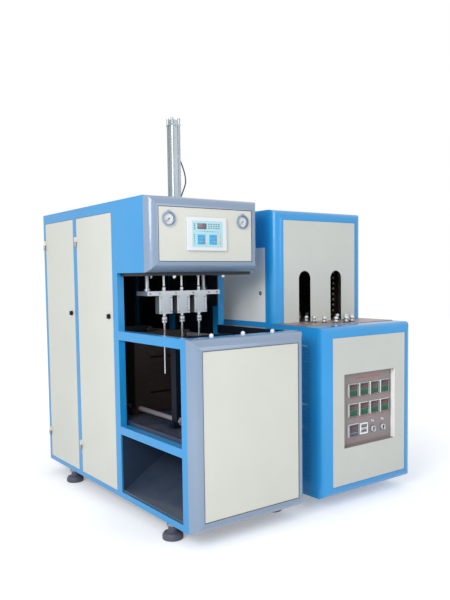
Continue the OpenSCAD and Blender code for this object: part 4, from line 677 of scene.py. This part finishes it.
gauge_places, gauge_z, dial_y = (124, 616), 1576, 336.8
start_angle, scale_sweep = 225, 270
ink = plain_finish("black_ink", colour(28, 28, 32), 0.5, grain=200.0)
dial_marks = bmesh.new()
for gauge_x in gauge_places:
    for step in range(51):
        bold = step % 5 == 0
        tilted_strip(dial_marks, (gauge_x, dial_y + 0.02, gauge_z), start_angle - step * scale_sweep / 50,
                     26.6 if bold else 28.0, 29.8, 0.7 if bold else 0.25)
    for step in range(0, 11, 2):
        lean = math.radians(start_angle - step * scale_sweep / 10)
        drawn_text(dial_marks, str(step),
                   (gauge_x + 20.5 * math.cos(lean), dial_y, gauge_z + 20.5 * math.sin(lean)), 5.2)
    drawn_text(dial_marks, "MPa", (gauge_x, dial_y, gauge_z - 13), 4.0)
new_piece("gauge_dial_marks", dial_marks, ink, merge=False)

plated = plain_finish("plated_ring", colour(108, 120, 140), 0.3, metallic=1.0, mottle=0.05)
gauge_rings = bmesh.new()
for gauge_x in gauge_places:
    turned_part(gauge_rings, (gauge_x, 326, gauge_z), (0, -1, 0),
                [(31.6, -2.9), (31.6, -0.6), (32.4, 0.0), (34.0, 0.0), (34.6, -0.5), (34.6, -2.9), (31.6, -2.9)], 48)
    turned_part(gauge_rings, (gauge_x, 332.4, gauge_z), (0, -1, 0),
                [(0, 0), (2.6, 0), (2.6, 0.8), (1.6, 1.4), (0, 1.5)], 20)
new_piece("gauge_lens_rings", gauge_rings, plated)


# The controller is a white moulded housing with a printed film on its face: a tinted
# display with red figures, rows of labels, two groups of domed keys and signal lamps.
lit_bars = {"0": "abcdef", "1": "bc", "2": "abged", "3": "abgcd", "4": "fgbc", "5": "afgcd", "6": "afgedc",
            "7": "abc", "8": "abcdefg", "9": "abcdfg"}


def figures(bm, text, corner, high, pitch):
    """Seven-segment figures on a plane that faces the front, from the lower left."""
    wide, thick = high * 0.5, high * 0.13
    bars = {"a": (0, high - thick, wide, high), "d": (0, 0, wide, thick),
            "g": (0, (high - thick) / 2, wide, (high + thick) / 2), "f": (0, high / 2, thick, high),
            "b": (wide - thick, high / 2, wide, high), "e": (0, 0, thick, high / 2),
            "c": (wide - thick, 0, wide, high / 2)}
    x, y, z = corner
    for place, sign in enumerate(text):
        for bar in lit_bars[sign]:
            left, low, right, top = bars[bar]
            start = x + place * pitch
            box_part(bm, (start + left, y, z + low), (start + right, y + 0.2, z + top))


def lit(name, tone, strength):
    """A small lamp or lit figure: a moulded face that gives off a little light."""
    return plain_finish(name, tone, 0.4, grain=150.0, mottle=0.1, Emission__Color=tone, Emission__Strength=strength)


keypad_film = plain_finish("cyan_keypad_film", colour(168, 212, 222), 0.3, mottle=0.03, Coat__Weight=0.3)
finish_nodes(white_plastic, "controller_housing")
finish_nodes(keypad_film, "controller_face")
display_tint = plain_finish("display_tint", colour(88, 100, 116), 0.2, mottle=0.05, Coat__Weight=0.6)
display = bmesh.new()
box_part(display, (297.8, 324.3, 1526.2), (358.8, 326.5, 1557.2), 0.4)
new_piece("controller_display", display, display_tint)
red_figures = lit("red_figures", colour(150, 60, 78), 0.2)
readout = bmesh.new()
for row, text in enumerate(("1250", "0845")):
    figures(readout, text, (307, 324.1, 1529 + row * 14.4), 10.5, 11.4)
new_piece("controller_readout", readout, red_figures)

label_teal = plain_finish("label_teal", colour(74, 124, 140), 0.4, mottle=0.05)
labels = bmesh.new()
for left, low, wide, high, columns, across, rows, up in (
        (369, 1529, 11, 5.5, 5, 16.5, 3, 11), (297, 1511, 9.5, 6, 10, 15.4, 1, 0),
        (274, 1523, 10, 5.5, 1, 0, 4, 9), (274, 1441, 8, 6, 1, 0, 6, 10)):
    for column in range(columns):
        for row in range(rows):
            x, z = left + column * across, low + row * up
            box_part(labels, (x, 323.45, z), (x + wide, 323.7, z + high))
new_piece("controller_labels", labels, label_teal)

key_blue = plain_finish("key_blue", colour(8, 162, 216), 0.32, mottle=0.05, Coat__Weight=0.3)
key_grey = plain_finish("key_grey", colour(132, 126, 160), 0.36, mottle=0.05)
blue_keys, grey_keys = bmesh.new(), bmesh.new()
for group_x, grey_rows in ((297.3, (0, 1)), (375.3, (1,))):
    for column in range(3):
        for row in range(3):
            x, z = group_x + column * 17.4, 1443.3 + row * 18.4
            keys = grey_keys if column == 2 and row in grey_rows else blue_keys
            box_part(keys, (x, 322.9, z), (x + 16.4, 324, z + 17.4), 0.5)
new_piece("controller_keys", blue_keys, key_blue)
new_piece("controller_grey_keys", grey_keys, key_grey)

signal_tones = [lit("amber_lamp", colour(232, 176, 60), 0.3), lit("green_lamp", colour(88, 180, 110), 0.3),
                lit("orange_lamp", colour(226, 120, 60), 0.3)]
signal_lamps = bmesh.new()
for row in range(6):
    before = len(signal_lamps.faces)
    turned_part(signal_lamps, (450, 323.7, 1440 + row * 10.5), (0, -1, 0),
                [(0, 0), (3.4, 0), (3.4, 0.7), (2.5, 1.3), (0, 1.6)], 16)
    signal_lamps.faces.ensure_lookup_table()
    for face in signal_lamps.faces[before:]:
        face.material_index = row % len(signal_tones)
new_piece("controller_signal_lamps", signal_lamps, signal_tones)


# The heater's control plate is grey painted sheet, sunk behind the front panel; the window's
# right side wall is painted white as painted light, where light from the left falls on it.
# Printed in red on it are a number and short bars at every meter, plain
# bars at the instruments and the two places of each switch.
lit_wall_painted_light = ((heater_mid + 218, -36, 250), (heater_mid + 224, -2.5, 705))
grey_plate = painted_metal("grey_control_plate", colour(136, 126, 126), roughness=0.4, wear=0.0, dust=0.0,
                           inside=[lit_wall_painted_light], painted_light_shade_tone=colour(255, 255, 255))
finish_nodes(grey_plate, "control_plate")
label_red = plain_finish("label_red", colour(186, 92, 92), 0.5, mottle=0.1)
meter_places = [(heater_mid + 17 + (column - 1.5) * 92, 469 + row * 118) for row in range(2) for column in range(4)]
switch_places, switch_z = (1338, 1426), 335
plate_labels = bmesh.new()
for number, (x, z) in enumerate(meter_places, 1):
    drawn_text(plate_labels, str(number), (x - 24, -1.15, z - 50), 12)
    for left, right in ((-14, 6), (9, 20), (23, 30)):
        box_part(plate_labels, (x + left, -1.3, z - 53), (x + right, -1.05, z - 48))
for low, high, bars in ((652, 660, ((1180, 1232), (1240, 1290), (1298, 1322), (1330, 1400))),
                        (290, 296, ((1135, 1158), (1163, 1190), (1230, 1262)))):
    for left, right in bars:
        box_part(plate_labels, (left, -1.3, low), (right, -1.05, high))
for switch_x in switch_places:
    drawn_text(plate_labels, "OFF", (switch_x - 27, -1.15, switch_z + 23), 9)
    drawn_text(plate_labels, "ON", (switch_x + 26, -1.15, switch_z + 23), 9)
new_piece("control_plate_labels", plate_labels, label_red, merge=False)


# The eight voltmeters are clipped into the plate: a white moulded case, a black window with
# red figures, and below it a teal front with printed bars. The cases get a brighter white
# than the other white mouldings, as painted light on their shaded sides.
def front_frame_strips(bm, x, z, wide, high, edge, y=-15.0):
    """A thin frame stuck on an instrument's rim: two uprights and two cross strips."""
    for side in (-1, 1):
        rim = x + side * (wide / 2 - edge / 2)
        box_part(bm, (rim - edge / 2, y - 0.7, z - high / 2), (rim + edge / 2, y, z + high / 2), 0.2)
        rim = z + side * (high / 2 - edge / 2)
        box_part(bm, (x - wide / 2 + edge, y - 0.7, rim - edge / 2), (x + wide / 2 - edge, y, rim + edge / 2), 0.2)


meter_case_painted_light = plain_finish("meter_case_white_painted_light", colour(255, 255, 255), 0.4, mottle=0.02)
teal_front = plain_finish("teal_meter_front", colour(0, 92, 64), 0.6, mottle=0.08)
window_black = plain_finish("window_black", colour(20, 14, 18), 0.12, mottle=0.05, Coat__Weight=0.6)
finish_nodes(meter_case_painted_light, "panel_meters")
meter_fronts, meter_windows, meter_figures, meter_bars = bmesh.new(), bmesh.new(), bmesh.new(), bmesh.new()
readings = ("218", "205", "196", "184", "172", "166", "180", "190")
for (x, z), reading in zip(meter_places, readings):
    box_part(meter_fronts, (x - 34, -12.7, z - 33), (x + 34, -12.05, z + 1), 0.3)
    box_part(meter_windows, (x - 34, -12.9, z + 1.6), (x + 34, -12.05, z + 33), 0.3)
    front_frame_strips(meter_windows, x, z, 78, 76, 5)
    figures(meter_figures, reading, (x - 18, -13.1, z + 10), 15, 14)
    for bar in range(3):
        box_part(meter_bars, (x - 26, -12.9, z - 29 + bar * 9), (x + 26 - bar * 14, -12.6, z - 25.5 + bar * 9))
new_piece("meter_fronts", meter_fronts, teal_front)
new_piece("meter_windows", meter_windows, window_black)
new_piece("meter_figures", meter_figures, red_figures)
new_piece("meter_printed_bars", meter_bars, ink)


# The temperature controller and the counter beside it sit in the same white cases: tinted
# windows with figures, a light line and four keys, all moulded and pressed in.
slate = plain_finish("slate_blue_front", colour(44, 50, 68), 0.3, mottle=0.06, Coat__Weight=0.4)
pale_grey = plain_finish("pale_grey_keys", colour(176, 182, 188), 0.4, mottle=0.04)
heat_x, heat_z, count_x = 1163, 348, 1247.5
small_fronts, small_windows, small_figures, small_keys = bmesh.new(), bmesh.new(), bmesh.new(), bmesh.new()
box_part(small_fronts, (heat_x - 37.5, -12.7, heat_z - 32), (heat_x + 37.5, -12.05, heat_z + 32), 0.3)
front_frame_strips(small_fronts, heat_x, heat_z, 85, 74, 5)
box_part(small_windows, (heat_x - 29, -12.95, 352), (heat_x + 29, -12.65, 374), 0.2)
figures(small_figures, "105", (heat_x - 20, -13.15, 356), 14, 15)
box_part(small_keys, (heat_x - 30, -12.95, 333), (heat_x + 30, -12.65, 335))
box_part(small_windows, (count_x - 26, -12.95, 357), (count_x + 26, -12.05, 376), 0.2)
box_part(small_keys, (count_x - 26, -12.7, 324), (count_x + 26, -12.05, 356), 0.3)
for key in range(4):
    x = count_x - 23 + key * 12
    box_part(small_windows, (x, -13.4, 330), (x + 9.5, -12.6, 342), 0.2)
figures(small_keys, "0042", (count_x - 20, -13.15, 361), 11, 11)
new_piece("small_instrument_fronts", small_fronts, slate)
new_piece("small_instrument_windows", small_windows, window_black)
new_piece("small_instrument_figures", small_figures, red_figures)
new_piece("small_instrument_keys", small_keys, pale_grey)


# Two rotary switches and the pilot lamps above them are white mouldings. Each switch has a
# dark inlay in its grip; a plated ring lies round each collar and each lamp.
finish_nodes(white_plastic, "pilot_lamps", "heater_switch_left", "heater_switch_right")
for switch_x, body in zip(switch_places, ("left_switch", "right_switch")):
    inlay = bmesh.new()
    box_part(inlay, (switch_x - 1.6, -21.5, switch_z + 2), (switch_x + 1.6, -20.8, switch_z + 14), 0.3)
    for side in (-1, 1):
        x = switch_x + side * 4.3
        box_part(inlay, (x - 0.5, -20.2, switch_z - 12), (x + 0.5, -10, switch_z + 12), 0.2)
    new_piece(body + "_inlay", inlay, black_plastic, body)
switch_rings = bmesh.new()
for switch_x in switch_places:
    turned_part(switch_rings, (switch_x, -1.0, switch_z), (0, -1, 0),
                [(18.2, 0), (18.2, 2.4), (19.0, 3.2), (20.6, 3.2), (21.4, 2.4), (21.4, 0), (18.2, 0)], 40)
for switch_x in switch_places:
    turned_part(switch_rings, (switch_x - 8, -9.0, switch_z + 50), (0, -1, 0),
                [(6.4, 0), (6.4, 1.2), (7.0, 1.6), (8.4, 1.6), (8.8, 1.2), (8.8, 0), (6.4, 0)], 32)
new_piece("switch_rings", switch_rings, plated)


# The panel on the heater's left side is folded sheet, held shut by a small moulded latch
# that a quarter turn releases.
side_latch = bmesh.new()
turned_part(side_latch, (898, 520, 1159), (-1, 0, 0),
            [(0, 0), (13, 0), (13, 3.2), (11.5, 4.4), (7, 4.4), (6.4, 2.6), (0, 2.6)], 36)
box_part(side_latch, (893.2, 518.4, 1151), (895.4, 521.6, 1167), 0.5)
new_piece("heater_side_latch", side_latch, black_plastic)


# The track plate is brushed steel with a slot for the chain, which carries turned alloy
# spindles and runs on two zinc-plated sprockets. Every spindle has a black rubber ring
# under its collar and a dark heat guard at its foot.
def spindle_places():
    """Where the chain's joints are: along both straight runs and round both ends."""
    radius, first_y, links = 138, 300, 12
    pitch = 2 * radius * math.sin(math.radians(15))
    for place in range(links + 1):
        for side in (-1, 1):
            yield heater_mid + side * radius, first_y + place * pitch
    for step in range(30, 180, 30):
        across = heater_mid + radius * math.cos(math.radians(step))
        along = radius * math.sin(math.radians(step))
        yield across, first_y - along
        yield across, first_y + links * pitch + along


track_steel = plain_finish("brushed_track_steel", colour(172, 156, 150), 0.45, metallic=0.7, mottle=0.1)
spindle_alloy = plain_finish("turned_alloy", colour(225, 228, 232), 0.25, metallic=0.9, mottle=0.05)
finish_nodes(track_steel, "track_plate")
finish_nodes(spindle_alloy, "spindle_chain")
finish_nodes(zinc_plate, "sprocket_front", "sprocket_rear")
spindle_rings = bmesh.new()
for x, y in spindle_places():
    turned_part(spindle_rings, (x, y, 994), (0, 0, 1),
                [(9.0, 0), (11.6, 0.6), (12.2, 2.2), (11.6, 3.8), (9.0, 4.4), (9.0, 0)], 20)
    turned_part(spindle_rings, (x, y, 975.2), (0, 0, 1),
                [(15.0, 0), (16.4, 0.4), (16.4, 6.2), (15.0, 6.8), (15.0, 0)], 24)
new_piece("spindle_rings", spindle_rings, black_rubber)


# The oven's sixteen quartz lamps lie in two banks before folded reflectors, which the heat
# has stained. They end in ceramic sockets that the reflectors hold.
quartz = plain_finish("smoked_quartz", colour(70, 64, 60), 0.2, mottle=0.05, Coat__Weight=0.5)
stained_steel = plain_finish("heat_stained_reflector", colour(150, 128, 112), 0.24, metallic=1.0, mottle=0.04)
ceramic = plain_finish("lamp_ceramic", colour(228, 222, 210), 0.55)
finish_nodes(quartz, "heat_lamps")
finish_nodes(stained_steel, "lamp_reflectors")
lamp_sockets = bmesh.new()
for side in (-1, 1):
    for row in range(8):
        for y, way in ((450, 1), (1070, -1)):
            turned_part(lamp_sockets, (heater_mid + side * 204, y, 1032 + row * 36), (0, way, 0),
                        [(7.1, 0.2), (10.5, 0.2), (10.5, 4), (9, 5), (9, 19), (8.2, 21), (7.1, 21), (7.1, 0.2)], 20)
new_piece("lamp_sockets", lamp_sockets, ceramic)
